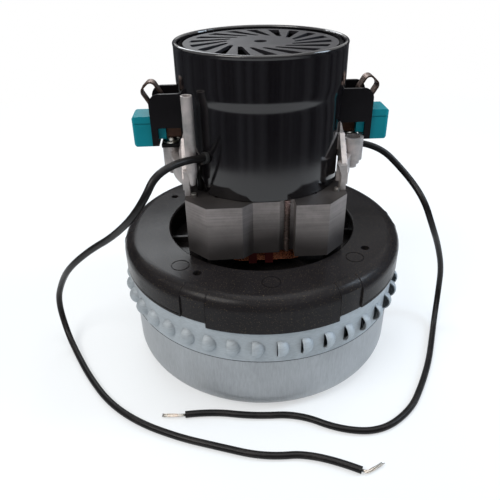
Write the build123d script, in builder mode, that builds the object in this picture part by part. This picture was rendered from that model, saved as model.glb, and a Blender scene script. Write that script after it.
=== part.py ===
from build123d import *
import os
from math import atan2, cos, degrees, hypot, pi, radians, sin, sqrt, tan

import numpy

os.makedirs("parts", exist_ok=True)

# The motor stands on the flat intake face of its fan case. Z is the shaft's axis,
# X runs through the two brushes, and the origin is the middle of the intake face.

# Shared clearances
slip = 0.05
seat = 0.3
overrun = 2.0

# Lower case shell
case_radius = 70.2
case_sheet = 0.9
case_corner_radius = 10.0
case_height = 35.6
eye_radius = 19.0
eye_lip_radius = 3.0
eye_throat = 2.4

# Louvre cover, a drawn cup over the shell's rim
cover_sheet = 0.8
cover_bottom = 33.8
cover_top = 55.0
cover_shoulder_radius = 1.6
cover_hole_radius = 9.6
louvre_count = 40
louvre_height = 9.2
louvre_rise = 3.5
louvre_sheet = 0.5
louvre_middle = 41.4
louvre_mouth = 1.2
louvre_azimuth = 2.1

# Fan-end bracket, the broad black ring
ring_radius = 72.5
ring_skirt = 1.3
ring_wall = 2.3
ring_bottom = 53.3
ring_top = 68.9
ring_edge_radius = 7.0
ring_hole_radius = 48.1
ring_hole_edge = 0.8
ring_floor = 2.4
lobe_drop = 2.0
lobe_count = 3
lobe_half_angle = 24.5
recess_end_angle = 34.8
recess_depth = 0.7
skirt_line_height = 1.1
skirt_line_width = 0.5
skirt_line_depth = 0.35
ring_screw_circle = 58.3
ring_screw_radius = 2.0
ring_screw_azimuth = 55.5
ring_screw_count = 4
ring_boss_radius = 4.4
ring_rib = 2.0
ring_rib_top = 61.0
ring_rib_count = 6

# Ball bearings, two alike
bearing_bore = 4.0
bearing_radius = 11.0
bearing_width = 7.0
bearing_ring_wall = 1.9
ball_radius = 1.85
ball_count = 7
ball_play = 0.08
cage_wall = 0.9
cage_height = 1.2
lower_bearing_bottom = 58.4
upper_bearing_bottom = 134.4
bearing_hub_wall = 3.2
bearing_shoulder = 1.9

# Stator stack
stack_bottom = 71.5
stack_top = 98.0
stack_half_width = 37.0
stack_half_depth = 42.0
stack_flat = 27.4
stack_corner = 32.0
bore_radius = 22.4
neck_half_width = 14.2
slot_end = 23.4
slot_back = 31.0
slot_shoe = 20.4
slot_mouth = 19.5
slot_mouth_end = 8.0
notch_left = 11.6
notch_left_foot = 6.6
notch_middle = 5.6
notch_right = 12.3
notch_depth = 4.4
notch_groove = 2.0
weld_radius = 1.1
weld_place = 9.0
stud_x = 33.0
stud_y = 28.0
stud_radius = 1.3
stud_hole = 1.5
stud_stub = 1.2
post_radius = 4.2

# Field coils, wound round the poles
wire_radius = 0.5
wire_pitch = 1.5
coil_turns = 5
coil_layers = 4
coil_depth = 28.9
coil_side_gap = 0.9
coil_top_gap = 1.6
coil_bottom_gap = 4.5
coil_corner = 2.5
liner_sheet = 0.25
liner_overhang = 0.4
tie_width = 4.0
tie_sheet = 0.4
tie_places = (-8.5, -0.5)

# Shaft and armature
shaft_bottom = 5.6
shaft_top = 152.6
shaft_core_radius = 6.0
armature_gap = 0.5
armature_slots = 12
armature_slot_width = 2.6
armature_slot_depth = 7.5
winding_inner = 6.6
winding_outer = 19.6
winding_top_height = 9.6
winding_bottom_height = 4.8
winding_round = 2.2

# Commutator
commutator_radius = 12.0
commutator_wall = 3.4
commutator_bottom = 109.6
commutator_top = 131.0
riser_radius = 14.0
riser_height = 2.2
bar_count = 24
bar_gap = 0.5

# Commutator-end bracket, an aluminium casting
web_inner = 40.8
web_outer = 44.0
web_bottom = 101.0
web_top = 110.0
web_half_angle = 36.0
tube_x = 33.0
tube_y = 28.0
tube_radius = 2.45
tube_bore = 1.8
tube_top = 143.4
tube_foot = 103.5
tube_foot_radius = 1.2
leg_in = 34.5
leg_out = 37.0
leg_front = 28.2
leg_back = 24.2
leg_taper = 1.6
leg_taper_height = 4.5
fin_in = 35.2
fin_out = 37.6
fin_foot = 106.5
beam_inner = 12.4
beam_width = 3.0
beam_bottom = 113.0
beam_top = 121.0
beam_out = 39.2
beam_post = 2.8
rib_top = 125.6
rib_tip = 0.5
rib_foot = 114.5
riser_reach = 5.0
hub_wall = 3.5
hub_flange_radius = 18.0
hub_flange = 3.0
boss_radius = 4.4
boss_top = 112.8
boss_bottom = 102.0
boss_tip = 98.6
boss_tip_radius = 2.4
screw_boss_x = 43.6
tube_boss_x = 43.4
tube_boss_y = 9.3
tube_boss_radius = 4.9
tube_boss_top = 117.0
tube_boss_bore = 3.3
tube_boss_depth = 9.0
tube_boss_step = 3.6
screw_radius = 1.7
screw_length = 9.0
washer_radius = 4.15
washer_height = 1.0
head_radius = 3.05
head_height = 2.0

# Shroud
shroud_radius = 38.9
shroud_wall = 1.5
shroud_top = 159.4
rim_radius = 1.0
rim_outset = 0.2
shoulder_top = 145.5
shoulder_bottom = 134.5
skirt_radius = 38.0
window_top = 139.8
window_wide = 15.9
window_narrow = 13.4
window_step = 126.2
window_slit = 148.0
window_slit_width = 2.6
window_slit_lean = 0.5
side_cut_top = 113.0
side_cut_heights = (99.0, 106.0)
side_cut_reaches = (27.5, 24.5, 23.5)
ledge_depth = 5.0
ledge_width = 2.4

# Cover grille
grille_radius = 34.6
grille_sheet = 1.4
grille_sink = 0.4
grille_flange_radius = 36.9
grille_flange = 1.2
grille_slots = 18
grille_slot_inner = 15.0
grille_slot_outer = 31.6
grille_slot_sweep = 24.0
grille_slot_narrow = 2.5
grille_slot_wide = 5.6
grille_slot_round = 0.8
grille_slot_azimuth = 14.0
grille_hole_radius = 2.9

# Cooling fan
fan_radius = 32.5
fan_bottom = 144.6
fan_plate = 1.2
fan_height = 6.2
fan_hub_radius = 8.0
fan_blades = 9
fan_blade_thickness = 1.4
fan_blade_inner = 12.0
fan_blade_sweep = 24.0

# Brush gear, built on the right and turned half round for the left
brush_half_width = 3.1
brush_bottom = 118.8
brush_top = 126.8
brush_back = 33.0
brush_play = 0.1
brush_travel = 3.0
tube_wall = 0.7
tube_inner_end = 15.0
tube_outer_end = 50.5
spring_radius = 2.35
spring_wire = 0.3
spring_coils = 9
block_inner = 45.0
block_outer = 60.5
block_half_width = 6.5
block_bottom = 114.4
block_top = 128.6
block_round = 1.6
block_line = 125.0
block_line_width = 0.45
block_line_depth = 0.3
screw_room_end = 48.8
housing_inner = 36.2
housing_outer = 51.5
housing_half_width = 9.0
housing_wall = 1.6
housing_top = 139.2
housing_corner = 4.8
housing_skirt = 123.7
housing_leg = 3.0
housing_leg_bottom = 115.3
housing_floor = 129.0
housing_floor_sheet = 1.2
housing_end_top = 134.4
housing_foot_end = 48.0
strap_width = 6.0
strap_sheet = 0.8
strap_start = 40.4
strap_bend = 44.4
strap_rise_x = 46.0
strap_rise_z = 137.6
strap_peak_x = 50.0
strap_peak_z = 144.4
strap_far_x = 55.4
strap_far_z = 139.4
strap_return_z = 133.6
strap_end_z = 130.2
strap_round = 2.4

# Fans inside the case
impeller_radius = 61.0
impeller_sheet = 0.8
first_stage_bottom = 4.6
first_stage_top = 14.5
second_stage_bottom = 35.4
second_stage_top = 46.0
impeller_eye = 20.5
impeller_vanes = 7
vane_inner = 23.0
vane_sweep = 62.0
diffuser_bottom = 19.0
diffuser_top = 31.0
diffuser_sheet = 1.0
diffuser_rim = 4.0
diffuser_plate_radius = 64.0
diffuser_eye = 21.0
diffuser_vanes = 8
diffuser_vane_inner = 26.0
diffuser_vane_sweep = 50.0
diffuser_vane_thickness = 1.2
clamp_radius = 11.0
clamp_height = 1.2
spacer_wall = 2.2
nut_across = 13.0
nut_height = 5.0

# Leads
lead_radius = 1.65
strand_radius = 0.85
strand_length = 10.5
strand_root = 3.0
strand_bend = 2.0
left_strand_aim = (0.888, 0.46, 0)
right_strand_aim = (-0.998, 0.054, 0)
grommet_radius = 2.1
grommet_flange_radius = 2.6
grommet_flange = 1.5
grommet_depth = 2.2
left_exit_azimuth = -133.5
left_exit_height = 116.0
right_exit_y = 11.0
right_exit_height = 106.5
sleeve_radius = 1.5
sleeve_foot = (-30.0, -21.3)
sleeve_head = (-25.0, -15.5)
sleeve_bend_height = 108.0
sleeve_top = 112.0
sleeve_round = 4.0

# The left lead's route after its exit, from the motor to its bare end
left_route = (
    (-44.4, -43.5, 120.8),
    (-54.1, -52.4, 103.85),
    (-70.5, -35.6, 82.7),
    (-85.1, -26.2, 70.5),
    (-99.7, -18.1, 55.9),
    (-109.6, -7.2, 39.9),
    (-116.7, -1.3, 22.9),
    (-112.9, -9.0, 5.6),
    (-103.9, -25.0, 1.75),
    (-93.6, -42.8, 1.75),
    (-81.0, -60.3, 1.75),
    (-65.2, -73.6, 1.75),
    (-45.7, -83.5, 1.75),
    (-27.5, -89.9, 1.75),
    (-6.3, -97.1, 1.75),
    (16.6, -96.6, 1.75),
    (35.0, -106.6, 1.75),
)

# The right lead's route after its exit
right_route = (
    (60.8, 11.0, 106.4),
    (78.8, 5.6, 89.0),
    (84.4, -7.8, 80.7),
    (89.9, -10.7, 66.9),
    (98.2, -4.4, 51.1),
    (105.1, -0.1, 32.9),
    (106.9, 0.9, 16.3),
    (102.5, -10.1, 2.75),
    (94.8, -27.3, 1.75),
    (87.2, -43.7, 1.75),
    (77.3, -60.7, 1.75),
    (66.6, -76.0, 1.75),
    (49.2, -87.3, 1.75),
    (30.3, -85.0, 1.75),
    (11.9, -74.3, 1.75),
    (-9.5, -74.0, 1.75),
    (-30.1, -69.7, 1.75),
    (-42.7, -70.6, 1.75),
)

# Places worked out from the sizes above
ledge_height = shroud_top - ledge_depth
cover_inner = case_radius + slip
cover_radius = cover_inner + cover_sheet
skirt_inner = ring_radius - ring_skirt
ball_circle = (bearing_bore + bearing_radius) / 2
armature_radius = bore_radius - armature_gap
coil_reach = coil_layers * wire_pitch
left_origin = Vector(
    (skirt_radius + seat) * cos(radians(left_exit_azimuth)),
    (skirt_radius + seat) * sin(radians(left_exit_azimuth)),
    left_exit_height,
)
right_origin = Vector(web_outer + slip, right_exit_y, right_exit_height)
wire_diameter = 2 * wire_radius


def save(part, name):
    part.label = name
    export_step(part, f"parts/{name}.step")


def polar(radius, azimuth):
    return radius * cos(radians(azimuth)), radius * sin(radians(azimuth))


def turned(radius_in, radius_out, bottom, top):
    """A plain ring about the shaft's axis."""
    with BuildPart() as ring:
        with BuildSketch(Plane.XY.offset(bottom)):
            Circle(radius_out)
            if radius_in > 0:
                Circle(radius_in, mode=Mode.SUBTRACT)
        extrude(amount=top - bottom)
    return ring.part


def wedge(radius_in, radius_out, bottom, top, azimuth, half_angle):
    """A piece of a ring, centred on an azimuth."""
    with BuildPart() as piece:
        with BuildSketch(Plane.XY.offset(bottom)):
            with BuildLine():
                start, size = azimuth - half_angle, 2 * half_angle
                outer = CenterArc((0, 0), radius_out, start, size)
                inner = CenterArc((0, 0), radius_in, start, size)
                Line(inner @ 0, outer @ 0)
                Line(inner @ 1, outer @ 1)
            make_face()
        extrude(amount=top - bottom)
    return piece.part


def block(x_range, y_range, z_range):
    """A straight-sided block between three pairs of limits."""
    with BuildPart() as piece:
        with BuildSketch(Plane.XY.offset(z_range[0])):
            with Locations(((x_range[0] + x_range[1]) / 2, (y_range[0] + y_range[1]) / 2)):
                Rectangle(x_range[1] - x_range[0], y_range[1] - y_range[0])
        extrude(amount=z_range[1] - z_range[0])
    return piece.part


def swept_vane(inner, outer, azimuth, sweep, thickness):
    """A curved vane's plan: a bowed line from the inner to the outer radius, thickened."""
    start = polar(inner, azimuth)
    end = polar(outer, azimuth + sweep)
    middle = polar((inner + outer) / 2, azimuth + sweep / 3)
    with BuildSketch() as plan:
        with BuildLine(mode=Mode.PRIVATE) as bow:
            ThreePointArc(start, middle, end)
        trace(bow.line, line_width=thickness)
    return plan.sketch


def route_radii(points):
    """The largest fillet that each corner's two runs allow."""
    radii = []
    for before, here, after in zip(points, points[1:], points[2:]):
        run_in, run_out = Vector(*here) - Vector(*before), Vector(*after) - Vector(*here)
        turn = radians(run_in.get_angle(run_out))
        radii.append(0.45 * min(run_in.length, run_out.length) / tan(turn / 2))
    return radii


def tube_along(points, radius, radii):
    """A round tube along straight runs joined by tangent arcs, and its centre line."""
    with BuildPart() as tube:
        with BuildLine() as path:
            FilletPolyline(*points, radius=radii)
        line = path.wires()[0]
        with BuildSketch(Plane(origin=line @ 0, z_dir=line % 0)):
            Circle(radius)
        sweep()
    return tube.part, line


def least_gap(line, diameter, step, apart):
    """The least clear distance of a wound tube to itself, measured on points."""
    points, along, travelled = [], [], 0.0
    for edge in line.order_edges():
        count = max(2, int(edge.length / step))
        for i in range(count):
            points.append(tuple(edge @ (i / count)))
            along.append(travelled + edge.length * i / count)
        travelled += edge.length
    places, lengths = numpy.array(points), numpy.array(along)
    least = travelled
    for i in range(len(places)):
        far = lengths > lengths[i] + apart
        if far.any():
            least = min(least, float(numpy.linalg.norm(places[far] - places[i], axis=1).min()))
    return least - diameter


# Lower case shell, spun with a rounded bottom corner and an inlet eye turned inwards
with BuildPart() as case_shell:
    with BuildSketch(Plane.XZ):
        with BuildLine():
            corner = (case_radius - case_corner_radius, case_corner_radius)
            lip = (eye_radius + eye_lip_radius, eye_lip_radius)
            inner_lip = eye_lip_radius - case_sheet
            inner_corner = case_corner_radius - case_sheet
            Line((lip[0], 0), (corner[0], 0))
            CenterArc(corner, case_corner_radius, -90, 90)
            Line((case_radius, case_corner_radius), (case_radius, case_height))
            Line((case_radius, case_height), (case_radius - case_sheet, case_height))
            Line((case_radius - case_sheet, case_height), (case_radius - case_sheet, corner[1]))
            CenterArc(corner, inner_corner, 0, -90)
            Line((corner[0], case_sheet), (lip[0], case_sheet))
            CenterArc(lip, inner_lip, -90, -90)
            throat_top = lip[1] + eye_throat
            Line((lip[0] - inner_lip, lip[1]), (lip[0] - inner_lip, throat_top))
            Line((lip[0] - inner_lip, throat_top), (eye_radius, throat_top))
            Line((eye_radius, throat_top), (eye_radius, lip[1]))
            CenterArc(lip, eye_lip_radius, 180, 90)
        make_face()
    revolve(axis=Axis.Z)
save(case_shell.part, "lower_case_shell")

# One louvre: a spherical dome cut off where its mouth opens
louvre_ball = ((louvre_height / 2) ** 2 + louvre_rise**2) / (2 * louvre_rise)
louvre_circle = cover_radius + louvre_rise - louvre_ball
mouth_plane = Plane(origin=(0, -louvre_mouth, 0), z_dir=(0, 1, 0))
with BuildPart() as louvre_dome:
    Sphere(louvre_ball)
    split(bisect_by=mouth_plane, keep=Keep.TOP)
with BuildPart() as louvre_hollow:
    Sphere(louvre_ball - louvre_sheet)
    split(bisect_by=Plane(origin=(0, -louvre_mouth - slip, 0), z_dir=(0, 1, 0)), keep=Keep.TOP)

# Louvre cover, with a lip over the shell and a flat deck under the fan-end bracket
with BuildPart() as louvre_cover:
    with BuildSketch(Plane.XZ):
        with BuildLine():
            Polyline(
                (cover_inner, cover_bottom),
                (cover_radius, cover_bottom),
                (cover_radius, cover_top),
                (cover_hole_radius, cover_top),
                (cover_hole_radius, cover_top - cover_sheet),
                (cover_inner, cover_top - cover_sheet),
                close=True,
            )
        shoulder = make_face().vertices().filter_by(lambda v: v.X > cover_inner + slip and v.Y > louvre_middle)
        fillet(shoulder, cover_shoulder_radius)
    revolve(axis=Axis.Z)
    shell_wall = (cover_inner, cover_radius)
    middle = (0, 0, louvre_middle)
    with Locations(Location(middle)):
        with PolarLocations(louvre_circle, louvre_count, start_angle=louvre_azimuth):
            add(louvre_dome.part)
    with BuildSketch(Plane.XY.offset(louvre_middle - louvre_height)):
        Circle(cover_inner)
        Circle(cover_inner - louvre_height, mode=Mode.SUBTRACT)
    extrude(amount=2 * louvre_height, mode=Mode.SUBTRACT)
    with Locations(Location(middle)):
        with PolarLocations(louvre_circle, louvre_count, start_angle=louvre_azimuth):
            add(louvre_hollow.part, mode=Mode.SUBTRACT)
save(louvre_cover.part, "louvre_cover")

# Fan-end bracket
hub_outer = bearing_radius + bearing_hub_wall
bracket_floor_top = cover_top + ring_floor
with BuildPart() as fan_end_bracket:
    with BuildSketch(Plane.XZ):
        with BuildLine():
            edge_middle = (ring_radius - ring_edge_radius, ring_top - ring_edge_radius)
            inner_edge = ring_edge_radius - ring_wall
            channel_in = ring_hole_radius + ring_wall
            channel_out = ring_radius - ring_wall
            channel_top = ring_top - ring_wall
            lip_bottom = cover_top + slip
            Line((skirt_inner, ring_bottom), (ring_radius, ring_bottom))
            Line((ring_radius, ring_bottom), (ring_radius, edge_middle[1]))
            CenterArc(edge_middle, ring_edge_radius, 0, 90)
            Polyline(
                (edge_middle[0], ring_top),
                (ring_hole_radius + ring_hole_edge, ring_top),
                (ring_hole_radius, ring_top - ring_hole_edge),
                (ring_hole_radius, bracket_floor_top),
                (hub_outer, bracket_floor_top),
                (hub_outer, lower_bearing_bottom + bearing_width + slip),
                (bearing_radius + slip, lower_bearing_bottom + bearing_width + slip),
                (bearing_radius + slip, lower_bearing_bottom),
                (bearing_radius - bearing_shoulder, lower_bearing_bottom),
                (bearing_radius - bearing_shoulder, cover_top),
                (channel_in, cover_top),
                (channel_in, channel_top),
                (edge_middle[0], channel_top),
            )
            CenterArc(edge_middle, inner_edge, 90, -90)
            Polyline(
                (channel_out, edge_middle[1]),
                (channel_out, lip_bottom),
                (skirt_inner, lip_bottom),
                (skirt_inner, ring_bottom),
            )
        make_face()
    revolve(axis=Axis.Z)
    rib_bottom = bracket_floor_top - slip
    with BuildSketch(Plane.XY.offset(rib_bottom)):
        with PolarLocations((hub_outer + ring_hole_radius) / 2, ring_rib_count):
            Rectangle(ring_hole_radius - hub_outer + slip, ring_rib)
    extrude(amount=ring_rib_top - rib_bottom)
    with BuildSketch(Plane.XY.offset(rib_bottom)):
        with GridLocations(2 * stud_x, 2 * stud_y, 2, 2):
            Circle(post_radius)
    extrude(amount=stack_bottom - rib_bottom)
    with BuildSketch(Plane.XY.offset(cover_top)):
        with PolarLocations(ring_screw_circle, ring_screw_count, start_angle=ring_screw_azimuth):
            Circle(ring_boss_radius)
    extrude(amount=channel_top + slip - cover_top)
    with BuildSketch(Plane.XY.offset(cover_top)):
        with PolarLocations(ring_screw_circle, ring_screw_count, start_angle=ring_screw_azimuth):
            Circle(ring_screw_radius)
    extrude(amount=ring_top - cover_top + overrun, mode=Mode.SUBTRACT)
    with BuildSketch(Plane.XY.offset(bracket_floor_top)):
        with GridLocations(2 * stud_x, 2 * stud_y, 2, 2):
            Circle(stud_hole)
    extrude(amount=stack_bottom - bracket_floor_top + overrun, mode=Mode.SUBTRACT)
    line_bottom = ring_bottom + skirt_line_height
    add(
        turned(ring_radius - skirt_line_depth, ring_radius + overrun, line_bottom, line_bottom + skirt_line_width),
        mode=Mode.SUBTRACT,
    )
    for i in range(lobe_count):
        lobe_azimuth = i * 360 / lobe_count - 90
        add(wedge(skirt_inner, ring_radius, ring_bottom - lobe_drop, edge_middle[1], lobe_azimuth, lobe_half_angle))
        recess_middle = (lobe_half_angle + recess_end_angle) / 2
        recess_half = (recess_end_angle - lobe_half_angle) / 2
        for side in (-1, 1):
            recess = wedge(
                ring_radius - recess_depth,
                ring_radius + overrun,
                ring_bottom - lobe_drop - overrun,
                ring_top,
                lobe_azimuth + side * recess_middle,
                recess_half,
            )
            add(recess, mode=Mode.SUBTRACT)
save(fan_end_bracket.part, "fan_end_bracket")


def bearing_outer(bottom):
    """The outer ring with its raceway."""
    inner = bearing_radius - bearing_ring_wall
    with BuildPart() as race:
        add(turned(inner, bearing_radius, bottom, bottom + bearing_width))
        with Locations((0, 0, bottom + bearing_width / 2)):
            Torus(ball_circle, ball_radius + ball_play, mode=Mode.SUBTRACT)
    return race.part


def bearing_inner(bottom):
    """The inner ring with its raceway."""
    outer = bearing_bore + bearing_ring_wall
    with BuildPart() as race:
        add(turned(bearing_bore, outer, bottom, bottom + bearing_width))
        with Locations((0, 0, bottom + bearing_width / 2)):
            Torus(ball_circle, ball_radius + ball_play, mode=Mode.SUBTRACT)
    return race.part


def bearing_balls(bottom):
    """The balls, held together by their cage."""
    middle = bottom + bearing_width / 2
    cage_in, cage_out = ball_circle - cage_wall / 2, ball_circle + cage_wall / 2
    with BuildPart() as balls:
        add(turned(cage_in, cage_out, middle - cage_height / 2, middle + cage_height / 2))
        with Locations((0, 0, middle)):
            with PolarLocations(ball_circle, ball_count):
                Sphere(ball_radius)
    return balls.part


for place, bottom in (("lower", lower_bearing_bottom), ("upper", upper_bearing_bottom)):
    save(bearing_outer(bottom), f"{place}_bearing_outer_ring")
    save(bearing_inner(bottom), f"{place}_bearing_inner_ring")
    save(bearing_balls(bottom), f"{place}_bearing_balls")

# Stator stack: a chamfered outline with a notch in the front and the back
stack_height = stack_top - stack_bottom
groove_back = stack_half_depth - notch_depth - notch_groove
front_edge = (
    (-stack_half_width, -stack_corner),
    (-stack_flat, -stack_half_depth),
    (-notch_left, -stack_half_depth),
    (-notch_left_foot, notch_depth - stack_half_depth),
    (notch_middle, notch_depth - stack_half_depth),
    (notch_middle, -groove_back),
    (notch_right, -groove_back),
    (notch_right, -stack_half_depth),
    (stack_flat, -stack_half_depth),
    (stack_half_width, -stack_corner),
)
back_edge = tuple((-x, -y) for x, y in front_edge)
with BuildPart() as stator_core:
    with BuildSketch(Plane.XY.offset(stack_bottom)):
        with BuildLine():
            Polyline(*front_edge, *back_edge, close=True)
        make_face()
        Circle(bore_radius, mode=Mode.SUBTRACT)
        coil_room = (slot_end - neck_half_width, slot_back - slot_shoe)
        coil_middle = (slot_end + neck_half_width, slot_back + slot_shoe)
        with GridLocations(coil_middle[0], coil_middle[1], 2, 2):
            Rectangle(*coil_room, mode=Mode.SUBTRACT)
        with GridLocations(slot_end + slot_mouth, slot_back + slot_mouth_end, 2, 2):
            Rectangle(slot_end - slot_mouth, slot_back - slot_mouth_end, mode=Mode.SUBTRACT)
        with GridLocations(2 * stud_x, 2 * stud_y, 2, 2):
            Circle(stud_hole, mode=Mode.SUBTRACT)
    extrude(amount=stack_height)
save(stator_core.part, "stator_core")

# Weld beads, one down the groove of each notch
weld_depth = groove_back + weld_radius + slip
with BuildPart() as weld_beads:
    with BuildSketch(Plane.XY.offset(stack_bottom)):
        with Locations((weld_place, -weld_depth), (-weld_place, weld_depth)):
            Circle(weld_radius)
    extrude(amount=stack_height)
save(weld_beads.part, "stack_welds")

# Fibre liners between the pole necks and the coils
liner_place = neck_half_width + slip + liner_sheet / 2
with BuildPart() as slot_liners:
    with BuildSketch(Plane.XY.offset(stack_bottom - liner_overhang)):
        with GridLocations(2 * liner_place, slot_back + slot_shoe, 2, 2):
            Rectangle(liner_sheet, slot_back - slot_shoe - 2 * slip)
    extrude(amount=stack_height + 2 * liner_overhang)
save(slot_liners.part, "slot_liners")


def coil_corners():
    """Corner points of the front coil, wound in layers round the pole's neck."""
    points, advance = [], wire_pitch / 4
    depth, direction = -coil_depth, 1
    for layer in range(coil_layers):
        reach = neck_half_width + coil_side_gap + wire_radius / 2 + layer * wire_pitch
        low = stack_bottom - coil_bottom_gap - layer * wire_pitch
        high = stack_top + coil_top_gap + wire_radius + layer * wire_pitch
        for turn in range(coil_turns):
            for x, z in ((-reach, low), (-reach, high), (reach, high), (reach, low)):
                points.append((x, depth, z))
                depth += direction * advance
        direction = -direction
        depth += direction * advance
    return points


coil_points = coil_corners()
coil_radii = [coil_corner] * (len(coil_points) - 2)
front_coil, coil_line = tube_along(coil_points, wire_radius, coil_radii)
coil_section = pi * wire_radius**2
print(
    f"field coil: {coil_layers * coil_turns} loops, wire {coil_line.length:.0f} mm, "
    f"volume over section times length {front_coil.volume / (coil_section * coil_line.length):.4f}, "
    f"least gap {least_gap(coil_line, wire_diameter, wire_radius, 2 * wire_pitch * pi):.3f} mm"
)
save(front_coil, "field_coil_front")
save(front_coil.rotate(Axis.Z, 180), "field_coil_back")

# Ties round the lower end turns of the front and back coils
bundle_far = coil_depth + wire_radius + slip * 2
bundle_near = bundle_far - coil_turns * wire_pitch - wire_diameter
bundle_top = stack_bottom - coil_bottom_gap + wire_radius + slip
bundle_bottom = bundle_top - coil_reach - wire_radius / 2
with BuildPart() as coil_ties:
    for place in tie_places:
        ends = (place, place + tie_width)
        add(
            block(
                ends,
                (-bundle_far - tie_sheet, -bundle_near + tie_sheet),
                (bundle_bottom - tie_sheet, bundle_top + tie_sheet),
            )
        )
        add(block(ends, (-bundle_far, -bundle_near), (bundle_bottom, bundle_top)), mode=Mode.SUBTRACT)
front_ties = coil_ties.part
with BuildPart() as all_ties:
    add(front_ties)
    add(front_ties.rotate(Axis.Z, 180))
save(all_ties.part, "coil_ties")

# Studs that clamp the stack to the fan-end bracket, their ends peened over the top
stud_bottom = bracket_floor_top + slip
with BuildPart() as stator_studs:
    with BuildSketch(Plane.XY.offset(stud_bottom)):
        with GridLocations(2 * stud_x, 2 * stud_y, 2, 2):
            Circle(stud_radius)
    extrude(amount=stack_top + stud_stub - stud_bottom)
save(stator_studs.part, "stator_studs")

# Shaft, thicker through the armature
core_bottom = lower_bearing_bottom + bearing_width
core_top = upper_bearing_bottom - slip
with BuildPart() as shaft:
    with BuildSketch(Plane.XY.offset(shaft_bottom)):
        Circle(bearing_bore)
    extrude(amount=shaft_top - shaft_bottom)
    with BuildSketch(Plane.XY.offset(core_bottom)):
        Circle(shaft_core_radius)
    extrude(amount=core_top - core_bottom)
    chamfer(shaft.faces().sort_by(Axis.Z)[-1].edges(), slip * 8)
save(shaft.part, "shaft")

# Armature core, twelve slots
with BuildPart() as armature_core:
    with BuildSketch(Plane.XY.offset(stack_bottom)):
        Circle(armature_radius)
        Circle(shaft_core_radius, mode=Mode.SUBTRACT)
        with PolarLocations(armature_radius - armature_slot_depth / 2, armature_slots):
            Rectangle(armature_slot_depth + overrun, armature_slot_width, mode=Mode.SUBTRACT)
    extrude(amount=stack_height)
save(armature_core.part, "armature_core")

# Armature winding: a bundle in each slot between two end rings
bundle_depth = armature_slot_depth - overrun
bundle_width = armature_slot_width - 2 * slip
with BuildPart() as armature_winding:
    for bottom, height in (
        (stack_top + slip, winding_top_height),
        (stack_bottom - slip - winding_bottom_height, winding_bottom_height),
    ):
        with BuildSketch(Plane.XZ):
            with Locations(((winding_inner + winding_outer) / 2, bottom + height / 2)):
                RectangleRounded(winding_outer - winding_inner, height, winding_round)
        revolve(axis=Axis.Z)
    with BuildSketch(Plane.XY.offset(stack_bottom - winding_round)):
        with PolarLocations(winding_outer - bundle_depth / 2 - slip, armature_slots):
            Rectangle(bundle_depth, bundle_width)
    extrude(amount=stack_height + 2 * winding_round)
save(armature_winding.part, "armature_winding")

# Commutator bars with their risers, and the moulded hub that holds them
bar_inner = commutator_radius - commutator_wall
with BuildPart() as commutator_bars:
    add(turned(bar_inner, commutator_radius, commutator_bottom, commutator_top))
    add(turned(bar_inner, riser_radius, commutator_bottom, commutator_bottom + riser_height))
    with BuildSketch(Plane.XY.offset(commutator_bottom)):
        with PolarLocations(riser_radius / 2, bar_count):
            Rectangle(riser_radius + overrun, bar_gap)
    extrude(amount=commutator_top - commutator_bottom, mode=Mode.SUBTRACT)
save(commutator_bars.part, "commutator_bars")
hub_part = turned(
    shaft_core_radius,
    bar_inner - slip,
    stack_top + slip * 2 + winding_top_height,
    commutator_top + slip * 4,
)
save(hub_part, "commutator_hub")


def screw_boss():
    """A boss with a tapered tip, drilled for the housing screw."""
    with BuildPart() as boss:
        with BuildSketch(Plane.XZ):
            with BuildLine():
                Polyline(
                    (0, boss_tip),
                    (boss_tip_radius, boss_tip),
                    (boss_radius, boss_bottom),
                    (boss_radius, boss_top),
                    (0, boss_top),
                    close=True,
                )
            make_face()
        revolve(axis=Axis.Z)
    return boss.part


def tube_boss():
    """The hollow boss beside it, stepped at the bottom."""
    with BuildPart() as boss:
        step = (tube_boss_top - boss_bottom) / tube_boss_step
        for i, share in enumerate(boss_step_shares):
            with BuildSketch(Plane.XY.offset(boss_bottom + i * step / 2)):
                Circle(tube_boss_radius * share)
            extrude(amount=tube_boss_top - boss_bottom - i * step / 2)
    return boss.part


boss_step_shares = (0.55, 0.78, 1.0)


def bracket_leg():
    """A narrow leg that widens inwards where it meets the web."""
    with BuildPart() as leg:
        with BuildSketch(Plane.XZ.offset(-leg_front)):
            with BuildLine():
                Polyline(
                    (leg_in, stack_top),
                    (leg_out, stack_top),
                    (leg_out, web_top),
                    (leg_in - leg_taper, web_top),
                    (leg_in, web_top - leg_taper_height),
                    close=True,
                )
            make_face()
        extrude(amount=leg_front - leg_back)
    return leg.part


def bracket_beam():
    """A beam from the web through the shroud's window to the hub, with a pointed rib outside."""
    with BuildPart() as beam:
        with BuildSketch(Plane.XZ.offset(-beam_inner - beam_width)):
            with BuildLine():
                Polyline(
                    (riser_reach, beam_bottom),
                    (riser_reach, beam_top),
                    (fin_in, beam_top),
                    (fin_in, rib_top),
                    (fin_in + rib_tip, rib_top),
                    (beam_out, rib_foot),
                    (beam_out, web_bottom),
                    (beam_out - beam_post, web_bottom),
                    (beam_out - beam_post, web_top),
                    (fin_in, beam_bottom),
                    close=True,
                )
            make_face()
        extrude(amount=beam_width)
        riser_end = riser_reach + 2 * beam_width
        beam_y = (beam_inner, beam_inner + beam_width)
        add(block((riser_reach, riser_end), beam_y, (beam_bottom, upper_bearing_bottom)))
    return beam.part


def bracket_fin():
    """The sloping fin that ties a leg to the beam's rib."""
    with BuildPart() as fin:
        with BuildSketch(Plane.YZ.offset(fin_in)):
            with BuildLine():
                Polyline(
                    (leg_front, web_bottom),
                    (leg_front, fin_foot),
                    (beam_inner + beam_width, beam_top),
                    (beam_inner + beam_width, web_bottom),
                    close=True,
                )
            make_face()
        extrude(amount=fin_out - fin_in)
    return fin.part


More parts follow.
